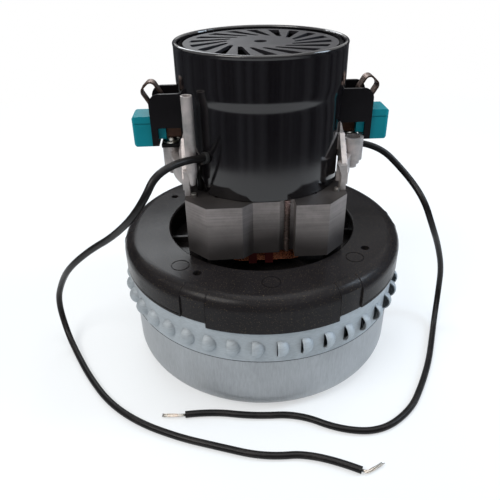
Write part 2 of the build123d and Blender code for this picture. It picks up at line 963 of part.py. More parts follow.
def tall_tube():
    """The hollow post, drawn in at its foot where it runs into the leg."""
    with BuildPart() as tube:
        with BuildSketch(Plane.XZ):
            with BuildLine():
                Polyline(
                    (0, tube_foot),
                    (tube_foot_radius, tube_foot),
                    (tube_radius, web_top),
                    (tube_radius, tube_top),
                    (0, tube_top),
                    close=True,
                )
            make_face()
        revolve(axis=Axis.Z)
    return tube.part


def commutator_bracket_half():
    """The casting on the right of the shaft, from its bosses to the hub."""
    with BuildPart() as half:
        add(wedge(web_inner, web_outer, web_bottom, web_top, 0, web_half_angle))
        for piece in (bracket_leg(), bracket_beam(), bracket_fin()):
            add(piece)
            add(mirror(piece, about=Plane.XZ, mode=Mode.PRIVATE))
        with Locations((tube_x, tube_y, 0)):
            add(tall_tube())
        with Locations((screw_boss_x, 0, 0)):
            add(screw_boss())
        with Locations((tube_boss_x, -tube_boss_y, 0)):
            add(tube_boss())
        with BuildSketch(Plane.XY.offset(boss_tip - overrun)):
            with Locations((screw_boss_x, 0)):
                Circle(screw_radius + slip)
        extrude(amount=boss_top - boss_tip + 2 * overrun, mode=Mode.SUBTRACT)
        with BuildSketch(Plane.XY.offset(tube_boss_top - tube_boss_depth)):
            with Locations((tube_boss_x, -tube_boss_y)):
                Circle(tube_boss_bore)
        extrude(amount=tube_boss_depth + overrun, mode=Mode.SUBTRACT)
        with BuildSketch(Plane.XY.offset(web_top)):
            with Locations((tube_x, tube_y)):
                Circle(tube_bore)
        extrude(amount=tube_top - web_top + overrun, mode=Mode.SUBTRACT)
        with BuildSketch(Plane(origin=(web_inner - overrun, right_exit_y, right_exit_height), z_dir=(1, 0, 0))):
            Circle(grommet_radius + slip)
        extrude(amount=web_outer - web_inner + 2 * overrun + grommet_radius, mode=Mode.SUBTRACT)
    return half.part


# Commutator-end bracket: two halves a half turn apart, joined by the bearing hub
hub_top = upper_bearing_bottom + bearing_width + slip
with BuildPart() as commutator_bracket:
    add(commutator_bracket_half())
    add(commutator_bracket_half().rotate(Axis.Z, 180))
    hub_bottom = upper_bearing_bottom - bearing_shoulder
    add(turned(bearing_radius - bearing_shoulder, bearing_radius + hub_wall, hub_bottom, hub_top))
    add(turned(bearing_radius - bearing_shoulder, hub_flange_radius, hub_bottom, hub_bottom + hub_flange))
    add(turned(0, bearing_radius + slip, upper_bearing_bottom, hub_top + overrun), mode=Mode.SUBTRACT)
save(commutator_bracket.part, "commutator_end_bracket")

# Washer-head screws that hold the brush housings
screw_seat = boss_top + housing_wall + slip
with BuildPart() as housing_screws:
    with BuildSketch(Plane.XY.offset(screw_seat - screw_length)):
        with Locations((screw_boss_x, 0), (-screw_boss_x, 0)):
            Circle(screw_radius)
    extrude(amount=screw_length)
    with BuildSketch(Plane.XY.offset(screw_seat)):
        with Locations((screw_boss_x, 0), (-screw_boss_x, 0)):
            Circle(washer_radius)
    extrude(amount=washer_height)
    with BuildSketch(Plane.XY.offset(screw_seat + washer_height)):
        with Locations((screw_boss_x, 0), (-screw_boss_x, 0)):
            Circle(head_radius)
    extrude(amount=head_height)
    dome_edges = housing_screws.edges().filter_by(GeomType.CIRCLE).group_by(Axis.Z)[-1]
    fillet(dome_edges, head_height / 2)
save(housing_screws.part, "housing_screws")

# Shroud: a rolled rim, a soft shoulder and a skirt that stands just over the stack
shroud_bottom = stack_top + seat
rim_centre = (shroud_radius + rim_outset - rim_radius, shroud_top)
shroud_inner = shroud_radius - shroud_wall
skirt_bore = skirt_radius - shroud_wall
with BuildPart() as shroud:
    with BuildSketch(Plane.XZ):
        with BuildLine():
            Line((skirt_bore, shroud_bottom), (skirt_radius, shroud_bottom))
            Line((skirt_radius, shroud_bottom), (skirt_radius, shoulder_bottom))
            Bezier(
                (skirt_radius, shoulder_bottom),
                (skirt_radius, (shoulder_bottom + shoulder_top) / 2),
                (shroud_radius, (shoulder_bottom + shoulder_top) / 2),
                (shroud_radius, shoulder_top),
            )
            Line((shroud_radius, shoulder_top), (shroud_radius, shroud_top - rim_radius))
            Line((shroud_radius, shroud_top - rim_radius), (rim_centre[0] + rim_radius, shroud_top))
            CenterArc(rim_centre, rim_radius, 0, 180)
            Line((rim_centre[0] - rim_radius, shroud_top), (shroud_inner, shroud_top - rim_radius))
            Polyline(
                (shroud_inner, shroud_top - rim_radius),
                (shroud_inner, ledge_height),
                (shroud_inner - ledge_width, ledge_height),
                (shroud_inner - ledge_width, ledge_height - shroud_wall),
                (shroud_inner, ledge_height - shroud_wall - ledge_width),
                (shroud_inner, shoulder_top),
            )
            Bezier(
                (shroud_inner, shoulder_top),
                (shroud_inner, (shoulder_bottom + shoulder_top) / 2),
                (skirt_bore, (shoulder_bottom + shoulder_top) / 2),
                (skirt_bore, shoulder_bottom),
            )
            Line((skirt_bore, shoulder_bottom), (skirt_bore, shroud_bottom))
        make_face()
    revolve(axis=Axis.Z)
    slit_in = window_narrow - window_slit_width
    with BuildSketch(Plane.YZ.offset(-shroud_radius - overrun)):
        with BuildLine():
            Polyline(
                (-window_wide, shroud_bottom - overrun),
                (-window_wide, window_step),
                (-window_narrow, window_step),
                (-window_narrow + window_slit_lean, window_slit),
                (-slit_in, window_top),
                (slit_in, window_top),
                (window_narrow - window_slit_lean, window_slit),
                (window_narrow, window_step),
                (window_wide, window_step),
                (window_wide, shroud_bottom - overrun),
                close=True,
            )
        make_face()
    extrude(amount=2 * (shroud_radius + overrun), mode=Mode.SUBTRACT)
    for side in (-1, 1):
        with BuildSketch(Plane.YZ):
            with BuildLine():
                Polyline(
                    (side * slit_in, shroud_bottom - overrun),
                    (side * (side_cut_reaches[0]), shroud_bottom - overrun),
                    (side * side_cut_reaches[0], side_cut_heights[0]),
                    (side * side_cut_reaches[1], side_cut_heights[1]),
                    (side * side_cut_reaches[2], side_cut_top),
                    (side * slit_in, side_cut_top),
                    close=True,
                )
            make_face()
        extrude(amount=side * (shroud_radius + overrun), mode=Mode.SUBTRACT)
    exit_plane = Plane(origin=left_origin, z_dir=Vector(*left_route[0]) - left_origin)
    with BuildSketch(exit_plane):
        Circle(grommet_radius + slip)
    extrude(amount=grommet_depth + grommet_flange, both=True, mode=Mode.SUBTRACT)
    with BuildSketch(exit_plane):
        Circle(grommet_flange_radius + slip)
    extrude(amount=grommet_flange, mode=Mode.SUBTRACT)
save(shroud.part, "shroud")


def slot_plan(azimuth):
    """One swept slot of the grille, wider at its outer end."""
    points = []
    for radius, turn, width in (
        (grille_slot_inner, 0, -grille_slot_narrow),
        (grille_slot_outer, grille_slot_sweep, -grille_slot_wide),
        (grille_slot_outer, grille_slot_sweep, grille_slot_wide),
        (grille_slot_inner, 0, grille_slot_narrow),
    ):
        points.append(polar(radius, azimuth + turn - grille_slot_sweep + degrees(width / 2 / radius)))
    return points


# Cover grille: a slotted disc on a flange that rests on the shroud's ledge
grille_top = shroud_top - grille_sink
grille_foot = ledge_height + slip
with BuildPart() as cover_grille:
    with BuildSketch(Plane.XY.offset(grille_foot)):
        Circle(grille_flange_radius)
        Circle(grille_radius - grille_sheet, mode=Mode.SUBTRACT)
    extrude(amount=grille_flange)
    with BuildSketch(Plane.XY.offset(grille_foot)):
        Circle(grille_radius)
        Circle(grille_radius - grille_sheet, mode=Mode.SUBTRACT)
    extrude(amount=grille_top - grille_foot)
    with BuildSketch(Plane.XY.offset(grille_top - grille_sheet)):
        Circle(grille_radius)
        Circle(grille_hole_radius, mode=Mode.SUBTRACT)
        with BuildSketch(mode=Mode.SUBTRACT):
            for i in range(grille_slots):
                with BuildLine():
                    Polyline(*slot_plan(grille_slot_azimuth + i * 360 / grille_slots), close=True)
                make_face()
            fillet(vertices(), grille_slot_round)
    extrude(amount=grille_sheet)
save(cover_grille.part, "cover_grille")

# Cooling fan: swept blades under a plate, on a hub that the shaft carries
fan_plate_top = fan_bottom + fan_plate
with BuildPart() as cooling_fan:
    add(turned(bearing_bore, fan_radius, fan_bottom, fan_plate_top))
    add(turned(bearing_bore, fan_hub_radius, fan_bottom, fan_bottom + fan_height))
    with BuildSketch(Plane.XY.offset(fan_plate_top - slip)):
        for i in range(fan_blades):
            azimuth = i * 360 / fan_blades
            add(swept_vane(fan_blade_inner, fan_radius - fan_plate, azimuth, fan_blade_sweep, fan_blade_thickness))
    extrude(amount=fan_height - fan_plate)
save(cooling_fan.part, "cooling_fan")

# Limits of the brush tube, from the brush and its play
tube_y = brush_half_width + brush_play + tube_wall
tube_z = (brush_bottom - brush_play - tube_wall, brush_top + brush_play + tube_wall)
tube_bore_y = brush_half_width + brush_play
tube_bore_z = (brush_bottom - brush_play, brush_top + brush_play)


def carbon_brush():
    """The brush, its face hollowed to the commutator."""
    with BuildPart() as brush:
        add(
            block(
                (commutator_radius - brush_half_width, brush_back),
                (-brush_half_width, brush_half_width),
                (brush_bottom, brush_top),
            )
        )
        face = turned(0, commutator_radius + brush_play, brush_bottom - overrun, brush_top + overrun)
        add(face, mode=Mode.SUBTRACT)
    return brush.part


def brush_tube():
    """The brass tube that the brush slides in."""
    with BuildPart() as tube:
        ends = (tube_inner_end, tube_outer_end)
        add(block(ends, (-tube_y, tube_y), tube_z))
        bore_ends = (tube_inner_end - overrun, tube_outer_end + overrun)
        add(block(bore_ends, (-tube_bore_y, tube_bore_y), tube_bore_z), mode=Mode.SUBTRACT)
    return tube.part


def brush_spring():
    """A coil spring from the brush's back to the block's end wall."""
    length = tube_outer_end - brush_back - 2 * (spring_wire + slip)
    start = (brush_back + spring_wire + slip, 0, (brush_bottom + brush_top) / 2)
    with BuildPart() as spring:
        with BuildLine() as path:
            Helix(length / spring_coils, length, spring_radius)
        line = path.wires()[0]
        with BuildSketch(Plane(origin=line @ 0, z_dir=line % 0)):
            Circle(spring_wire)
        sweep(is_frenet=True)
    return spring.part.rotate(Axis.Y, 90).moved(Location(start))


def brush_block():
    """The teal end block, with room for the tube's end and the screw below it."""
    with BuildPart() as body:
        add(
            block(
                (block_inner, block_outer),
                (-block_half_width, block_half_width),
                (block_bottom, block_top),
            )
        )
        outer_face = body.faces().sort_by(Axis.X)[-1]
        fillet(outer_face.edges(), block_round)
        room_y = tube_y + slip
        room_z = (tube_z[0] - slip, tube_z[1] + slip)
        room_x = (block_inner - overrun, tube_outer_end + slip)
        add(block(room_x, (-room_y, room_y), room_z), mode=Mode.SUBTRACT)
        screw_x = (block_inner - overrun, screw_room_end)
        screw_y = block_half_width + overrun
        add(block(screw_x, (-screw_y, screw_y), (block_bottom - overrun, room_z[0])), mode=Mode.SUBTRACT)
        line_z = (block_line, block_line + block_line_width)
        line_y = block_half_width - block_line_depth
        line_x = (housing_outer, block_outer - block_line_depth)
        with BuildSketch(Plane.XY.offset(line_z[0])):
            with Locations(((line_x[0] + block_outer) / 2, 0)):
                Rectangle(block_outer - line_x[0] + overrun, 2 * block_half_width + overrun)
            with Locations(((line_x[0] + line_x[1]) / 2, 0)):
                Rectangle(line_x[1] - line_x[0] + slip, 2 * line_y, mode=Mode.SUBTRACT)
        extrude(amount=block_line_width, mode=Mode.SUBTRACT)
    return body.part


def brush_housing():
    """The black housing: two walls with legs, a floor over the tube, end walls and a foot."""
    with BuildPart() as body:
        with BuildSketch(Plane.XZ.offset(-housing_half_width)):
            with BuildLine():
                Polyline(
                    (housing_inner, housing_skirt),
                    (housing_inner, housing_top),
                    (housing_outer, housing_top),
                    (housing_outer, housing_leg_bottom),
                    (housing_outer - housing_leg, housing_leg_bottom),
                    (housing_outer - housing_leg, housing_skirt),
                    close=True,
                )
            top_corners = make_face().vertices().group_by(Axis.Y)[-1]
            fillet(top_corners.sort_by(Axis.X)[-1], housing_corner)
        extrude(amount=2 * housing_half_width)
        between = housing_half_width - housing_wall
        inside = (housing_inner + housing_wall, housing_outer + overrun)
        add(block(inside, (-between, between), (housing_leg_bottom - overrun, housing_top + overrun)), mode=Mode.SUBTRACT)
        floor_end = housing_outer - housing_wall
        wide = (-between - slip, between + slip)
        floor_z = (housing_floor, housing_floor + housing_floor_sheet)
        add(block((housing_inner, housing_outer), wide, floor_z))
        add(block((floor_end, housing_outer), wide, (housing_floor, housing_end_top)))
        inner_wall = (housing_inner, housing_inner + housing_wall)
        foot_z = (boss_top, boss_top + housing_wall)
        add(block(inner_wall, (-housing_half_width, housing_half_width), (boss_top, housing_skirt + slip)))
        add(block((housing_inner, housing_foot_end), (-boss_radius, boss_radius), foot_z))
        room_y = tube_y + slip
        room_z = (tube_z[0] - slip, tube_z[1] + slip)
        room_x = (housing_inner - overrun, housing_inner + housing_wall + overrun)
        add(block(room_x, (-room_y, room_y), room_z), mode=Mode.SUBTRACT)
        with BuildSketch(Plane.XY.offset(boss_top - overrun)):
            with Locations((screw_boss_x, 0)):
                Circle(screw_radius + slip)
        extrude(amount=housing_wall + 2 * overrun, mode=Mode.SUBTRACT)
    return body.part


def terminal_strap():
    """The bent strip from the housing's floor over its outer end."""
    low = housing_floor + housing_floor_sheet + slip + strap_sheet / 2
    down = housing_outer + slip + strap_sheet / 2
    points = (
        (strap_start, low),
        (strap_bend, low),
        (strap_rise_x, strap_rise_z),
        (strap_peak_x, strap_peak_z),
        (strap_far_x, strap_far_z),
        (down, strap_return_z),
        (down, strap_end_z),
    )
    with BuildPart() as strap:
        with BuildSketch(Plane.XZ.offset(-strap_width / 2)):
            with BuildLine(mode=Mode.PRIVATE) as bent:
                FilletPolyline(*points, radius=strap_round)
            trace(bent.line, line_width=strap_sheet)
        extrude(amount=strap_width)
    return strap.part


for name, make in (
    ("carbon_brush", carbon_brush),
    ("brush_tube", brush_tube),
    ("brush_spring", brush_spring),
    ("brush_block", brush_block),
    ("brush_housing", brush_housing),
    ("terminal_strap", terminal_strap),
):
    piece = make()
    save(piece, f"{name}_right")
    save(piece.rotate(Axis.Z, 180), f"{name}_left")


def impeller(bottom, top):
    """Two discs with swept vanes between them; the lower disc has the eye."""
    with BuildPart() as wheel:
        add(turned(impeller_eye, impeller_radius, bottom, bottom + impeller_sheet))
        add(turned(bearing_bore, impeller_radius, top - impeller_sheet, top))
        with BuildSketch(Plane.XY.offset(bottom + impeller_sheet - slip)):
            for i in range(impeller_vanes):
                azimuth = i * 360 / impeller_vanes
                add(swept_vane(vane_inner, impeller_radius - case_sheet, azimuth, -vane_sweep, impeller_sheet))
        extrude(amount=top - bottom - 2 * impeller_sheet + 2 * slip)
    return wheel.part


save(impeller(first_stage_bottom, first_stage_top), "first_stage_impeller")
save(impeller(second_stage_bottom, second_stage_top), "second_stage_impeller")

# Fixed diffuser between the stages: a plate, return vanes, and a rimmed plate with an eye
diffuser_radius = case_radius - case_sheet - slip
with BuildPart() as stage_diffuser:
    spacer_room = bearing_bore + spacer_wall + seat
    add(turned(spacer_room, diffuser_plate_radius, diffuser_bottom, diffuser_bottom + diffuser_sheet))
    add(turned(diffuser_eye, diffuser_radius, diffuser_top - diffuser_sheet, diffuser_top))
    rim_inner = diffuser_radius - diffuser_sheet
    add(turned(rim_inner, diffuser_radius, diffuser_top - diffuser_rim, diffuser_top))
    with BuildSketch(Plane.XY.offset(diffuser_bottom + diffuser_sheet - slip)):
        for i in range(diffuser_vanes):
            azimuth = i * 360 / diffuser_vanes
            reach = diffuser_plate_radius - diffuser_sheet
            add(swept_vane(diffuser_vane_inner, reach, azimuth, diffuser_vane_sweep, diffuser_vane_thickness))
    extrude(amount=diffuser_top - diffuser_bottom - 2 * diffuser_sheet + 2 * slip)
save(stage_diffuser.part, "stage_diffuser")

# Spacers on the shaft, between the wheels and up to the lower bearing
spacer_radius = bearing_bore + spacer_wall
with BuildPart() as shaft_spacers:
    add(turned(bearing_bore, spacer_radius, first_stage_top, second_stage_top - impeller_sheet))
    add(turned(bearing_bore, spacer_radius, second_stage_top, lower_bearing_bottom))
save(shaft_spacers.part, "shaft_spacers")
clamp_top = first_stage_top - impeller_sheet
save(turned(bearing_bore, clamp_radius, clamp_top - clamp_height, clamp_top), "clamp_washer")

# Shaft nut under the first wheel
nut_top = clamp_top - clamp_height
with BuildPart() as shaft_nut:
    with BuildSketch(Plane.XY.offset(nut_top - nut_height)):
        RegularPolygon(nut_across / 2, 6, major_radius=False)
        Circle(bearing_bore, mode=Mode.SUBTRACT)
    extrude(amount=nut_height)
save(shaft_nut.part, "shaft_nut")


def grommet(origin, direction):
    """A rubber bush: a body in the wall and a flange outside it."""
    with BuildPart() as bush:
        with BuildSketch(Plane(origin=origin, z_dir=direction)):
            Circle(grommet_flange_radius)
        extrude(amount=grommet_flange)
        with BuildSketch(Plane(origin=origin, z_dir=direction)):
            Circle(grommet_radius)
        extrude(amount=-grommet_depth)
    return bush.part


# Grommets, and the free leads that start on their outer faces
left_out = (Vector(*left_route[0]) - left_origin).normalized()
right_out = (Vector(*right_route[0]) - right_origin).normalized()
save(grommet(left_origin, left_out), "lead_grommet_left")
save(grommet(right_origin, right_out), "lead_grommet_right")

for side, origin, out, route, aim in (
    ("left", left_origin, left_out, left_route, left_strand_aim),
    ("right", right_origin, right_out, right_route, right_strand_aim),
):
    start = origin + out * grommet_flange
    points = [tuple(start), *route]
    radii = route_radii(points)
    lead, line = tube_along(points, lead_radius, radii)
    share = lead.volume / (pi * lead_radius**2 * line.length)
    print(f"{side} lead: start {tuple(round(v, 2) for v in start)}, length {line.length:.1f} mm")
    print(f"  volume over section times length {share:.4f}, radii {[round(r, 1) for r in radii]}")
    save(lead, f"lead_{side}")
    end = Vector(*route[-1])
    root = end + (line % 1) * strand_root
    tip = root + Vector(*aim).normalized() * strand_length
    strand_points = (tuple(end), tuple(root), tuple(tip))
    strands, strand_line = tube_along(strand_points, strand_radius, [strand_bend])
    save(strands, f"lead_end_{side}")

# Sleeved inner leads beside the two tall posts
sleeve_points = (
    (*sleeve_foot, stack_top + slip * 2),
    (*sleeve_foot, sleeve_bend_height),
    (*sleeve_head, sleeve_top),
)
sleeve, sleeve_line = tube_along(sleeve_points, sleeve_radius, [sleeve_round])
save(sleeve, "inner_lead_left")
save(sleeve.rotate(Axis.Z, 180), "inner_lead_right")
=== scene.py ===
import math
import random
from collections import namedtuple

import bmesh
import bpy
from mathutils import Matrix, Vector


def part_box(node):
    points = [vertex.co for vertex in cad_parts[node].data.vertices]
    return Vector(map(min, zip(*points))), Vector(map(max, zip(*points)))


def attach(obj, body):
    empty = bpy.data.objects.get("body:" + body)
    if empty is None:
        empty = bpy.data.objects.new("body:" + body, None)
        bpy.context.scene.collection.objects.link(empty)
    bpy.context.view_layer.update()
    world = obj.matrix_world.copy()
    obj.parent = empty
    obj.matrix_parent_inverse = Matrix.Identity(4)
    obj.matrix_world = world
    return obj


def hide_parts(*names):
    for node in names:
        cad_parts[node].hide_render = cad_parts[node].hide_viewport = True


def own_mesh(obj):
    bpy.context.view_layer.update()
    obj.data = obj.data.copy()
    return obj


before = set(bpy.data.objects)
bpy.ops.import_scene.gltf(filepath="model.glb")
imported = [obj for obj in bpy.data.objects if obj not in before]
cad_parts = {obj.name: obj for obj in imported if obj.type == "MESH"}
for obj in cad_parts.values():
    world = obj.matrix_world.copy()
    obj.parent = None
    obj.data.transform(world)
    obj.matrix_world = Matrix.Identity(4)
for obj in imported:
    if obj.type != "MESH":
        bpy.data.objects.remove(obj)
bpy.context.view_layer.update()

bl_info = {
    "name": "Vacuum motor",
    "version": (1, 0, 0),
    "blender": (4, 5, 0),
    "location": "View3D > Sidebar > Vacuum motor",
    "description": "Finishes, windings, brush gear and leads of a louvred vacuum motor",
    "category": "Object",
}

MM = 0.001
STATIC = "motor_body"
ROTOR = "rotor"
SIDES = {"left": -1, "right": 1}
UP = Vector((0.0, 0.0, 1.0))


# Settings a user would change

class StageSettings(bpy.types.PropertyGroup):
    floor_colour: bpy.props.FloatVectorProperty(
        name="Floor", description="Colour of the studio floor",
        default=(0.88, 0.92, 0.94), size=3, subtype="COLOR",
    )
    floor_width: bpy.props.FloatProperty(
        name="Floor width", description="Side of the square floor", default=8.0, unit="LENGTH",
    )
    floor_glow: bpy.props.FloatProperty(
        name="Backdrop share",
        description="How far the floor looks like a white backdrop rather than a lit surface",
        default=0.50, min=0.0, max=1.0, subtype="FACTOR",
    )
    shadow_reach: bpy.props.FloatProperty(
        name="Shadow reach", description="How far from the shaft the floor keeps its full shadow",
        default=0.20, unit="LENGTH",
    )
    flag_radius: bpy.props.FloatProperty(
        name="Flag radius", description="Radius of the ring of dark flags that gloss black reflects",
        default=0.30, unit="LENGTH",
    )
    flag_height: bpy.props.FloatProperty(
        name="Flag height", description="Height of the dark flags", default=0.22, unit="LENGTH",
    )
    room_colour: bpy.props.FloatVectorProperty(
        name="Room", description="Soft light from the room",
        default=(0.82, 0.88, 0.95), size=3, subtype="COLOR",
    )
    room_strength: bpy.props.FloatProperty(
        name="Room light", description="Strength of the room light", default=0.38,
    )
    focal_length: bpy.props.FloatProperty(
        name="Focal length", description="Camera lens, in millimetres", default=37.0, unit="CAMERA",
    )


class CaseSettings(bpy.types.PropertyGroup):
    shell_colour: bpy.props.FloatVectorProperty(
        name="Shell", description="Brushed aluminium of the lower case",
        default=(0.40, 0.415, 0.43), size=3, subtype="COLOR",
    )
    cover_colour: bpy.props.FloatVectorProperty(
        name="Louvre cover", description="Matte aluminium of the louvre cover",
        default=(0.40, 0.43, 0.45), size=3, subtype="COLOR",
    )
    ring_colour: bpy.props.FloatVectorProperty(
        name="Bracket", description="Moulded black of the fan-end bracket",
        default=(0.013, 0.0115, 0.012), size=3, subtype="COLOR",
    )
    case_radius: bpy.props.FloatProperty(
        name="Case radius", description="Outer radius of the fan case at its seam",
        default=71.05 * MM, unit="LENGTH",
    )
    mark_radius: bpy.props.FloatProperty(
        name="Mould mark", description="Radius of the round mould marks", default=4.3 * MM, unit="LENGTH",
    )


class MotorSettings(bpy.types.PropertyGroup):
    sheet_thickness: bpy.props.FloatProperty(
        name="Lamination", description="Thickness of one lamination", default=0.65 * MM, unit="LENGTH",
    )
    sheet_colour: bpy.props.FloatVectorProperty(
        name="Stack", description="Steel of the stator stack",
        default=(0.30, 0.27, 0.26), size=3, subtype="COLOR",
    )
    wire_colour: bpy.props.FloatVectorProperty(
        name="Wire", description="Enamelled copper wire",
        default=(0.50, 0.17, 0.08), size=3, subtype="COLOR",
    )
    wire_thickness: bpy.props.FloatProperty(
        name="Wire thickness", description="Diameter of the winding wire", default=0.62 * MM, unit="LENGTH",
    )
    tie_colour: bpy.props.FloatVectorProperty(
        name="Ties", description="Lacing ties of the coils",
        default=(0.20, 0.018, 0.014), size=3, subtype="COLOR",
    )
    casting_colour: bpy.props.FloatVectorProperty(
        name="Casting", description="Die-cast aluminium",
        default=(0.48, 0.455, 0.445), size=3, subtype="COLOR",
    )


class BrushGearSettings(bpy.types.PropertyGroup):
    block_colour: bpy.props.FloatVectorProperty(
        name="Blocks", description="Moulded brush blocks",
        default=(0.0, 0.185, 0.225), size=3, subtype="COLOR",
    )
    housing_colour: bpy.props.FloatVectorProperty(
        name="Housings", description="Moulded brush housings",
        default=(0.007, 0.006, 0.007), size=3, subtype="COLOR",
    )
    strap_colour: bpy.props.FloatVectorProperty(
        name="Straps", description="Tinned terminal straps",
        default=(0.17, 0.12, 0.10), size=3, subtype="COLOR",
    )
    spring_coils: bpy.props.IntProperty(
        name="Spring coils", description="Coils of each brush spring", default=9,
    )


class ShroudSettings(bpy.types.PropertyGroup):
    shroud_colour: bpy.props.FloatVectorProperty(
        name="Shroud", description="Gloss moulding round the motor",
        default=(0.0045, 0.0038, 0.0045), size=3, subtype="COLOR",
    )
    grille_colour: bpy.props.FloatVectorProperty(
        name="Grille", description="Satin cover grille",
        default=(0.020, 0.019, 0.022), size=3, subtype="COLOR",
    )


class LeadSettings(bpy.types.PropertyGroup):
    lead_diameter: bpy.props.FloatProperty(
        name="Lead thickness", description="Diameter over the insulation", default=3.3 * MM, unit="LENGTH",
    )
    lead_colour: bpy.props.FloatVectorProperty(
        name="Insulation", description="Black insulation",
        default=(0.007, 0.0062, 0.0062), size=3, subtype="COLOR",
    )
    strand_count: bpy.props.IntProperty(
        name="Strands", description="Bare strands at each end", default=12,
    )
    strand_diameter: bpy.props.FloatProperty(
        name="Strand thickness", description="Diameter of one tinned strand",
        default=0.42 * MM, unit="LENGTH",
    )


SETTINGS = {
    "stage_settings": StageSettings,
    "case_settings": CaseSettings,
    "motor_settings": MotorSettings,
    "brush_settings": BrushGearSettings,
    "shroud_settings": ShroudSettings,
    "lead_settings": LeadSettings,
}


# Colours of the finishes that have no setting

WHITE = (1.0, 1.0, 1.0)
# Painted shade in the folds and painted light on the crests of the flag cloth.
CLOTH_FOLD_SHADE, CLOTH_CREST_LIGHT = (0.01, 0.01, 0.011), (0.16, 0.155, 0.16)
WHEEL_ALUMINIUM = (0.78, 0.79, 0.80)
SEAM_SHADOW = (0.05, 0.052, 0.055)
BRACKET_DUST = (0.20, 0.15, 0.09)
FIBRE_PAPER = (0.42, 0.28, 0.14)
STUD_PLATING = (0.58, 0.57, 0.54)
# The weld's lighter top colour is a painted highlight.
WELD_VALLEY, WELD_CREST, WELD_TOP_HIGHLIGHT = (0.012, 0.009, 0.008), (0.075, 0.05, 0.042), (0.20, 0.13, 0.12)
HUB_RESIN = (0.11, 0.055, 0.03)
CLEAN_BAR, WORN_BAR = (0.72, 0.36, 0.22), (0.20, 0.11, 0.07)
GROUND_STEEL = (0.62, 0.62, 0.62)
BEARING_CHROME = (0.72, 0.72, 0.73)
ZINC, ZINC_YELLOW = (0.86, 0.86, 0.84), (0.80, 0.74, 0.55)
STRAP_TARNISH = (0.10, 0.055, 0.04)
TUBE_BRASS, TUBE_TARNISH = (0.12, 0.065, 0.045), (0.045, 0.03, 0.025)
CARBON_MATTE, CARBON_GLINT = (0.018, 0.018, 0.019), (0.075, 0.075, 0.08)
SPRING_STEEL = (0.60, 0.60, 0.60)
SHROUD_DUST = (0.10, 0.10, 0.10)
FAN_BLACK = (0.006, 0.006, 0.006)
GROMMET_BLACK = (0.014, 0.014, 0.014)
WORN_RUBBER = (0.05, 0.04, 0.036)
TINNED_STRAND, BARE_COPPER = (0.70, 0.66, 0.60), (0.55, 0.33, 0.20)


# Shader maths

# Where a Mix node keeps the sockets that mix colours
MIX_FACTOR, MIX_FIRST, MIX_SECOND, MIX_RESULT = 0, 6, 7, 2
# Most of a noise's values lie between these two
NOISE_LOW, NOISE_HIGH = 0.3, 0.7
# How a point is squeezed so that a noise makes rings across an upright axis
RINGS, FINE_RINGS = (0.05, 0.05, 1.0), (0.02, 0.02, 1.0)
# How a point is squeezed so that only its place across the floor counts
FLAT = (1.0, 1.0, 0.0)
# How much brighter each channel of cast metal is where its skin is worn
WORN_SKIN = (1.18, 1.12, 1.1)


class Value:
    """A shader socket that Python's operators work on, adding Math nodes."""

    def __init__(self, finish, socket):
        self.finish = finish
        self.socket = socket

    def math(self, operation, first, second):
        return self.finish.node("ShaderNodeMath", {"operation": operation}, {0: first, 1: second})

    def __add__(self, other):
        return self.math("ADD", self, other)

    __radd__ = __add__

    def __sub__(self, other):
        return self.math("SUBTRACT", self, other)

    def __rsub__(self, other):
        return self.math("SUBTRACT", other, self)

    def __mul__(self, other):
        return self.math("MULTIPLY", self, other)

    __rmul__ = __mul__

    def __truediv__(self, other):
        return self.math("DIVIDE", self, other)

    def __rtruediv__(self, other):
        return self.math("DIVIDE", other, self)


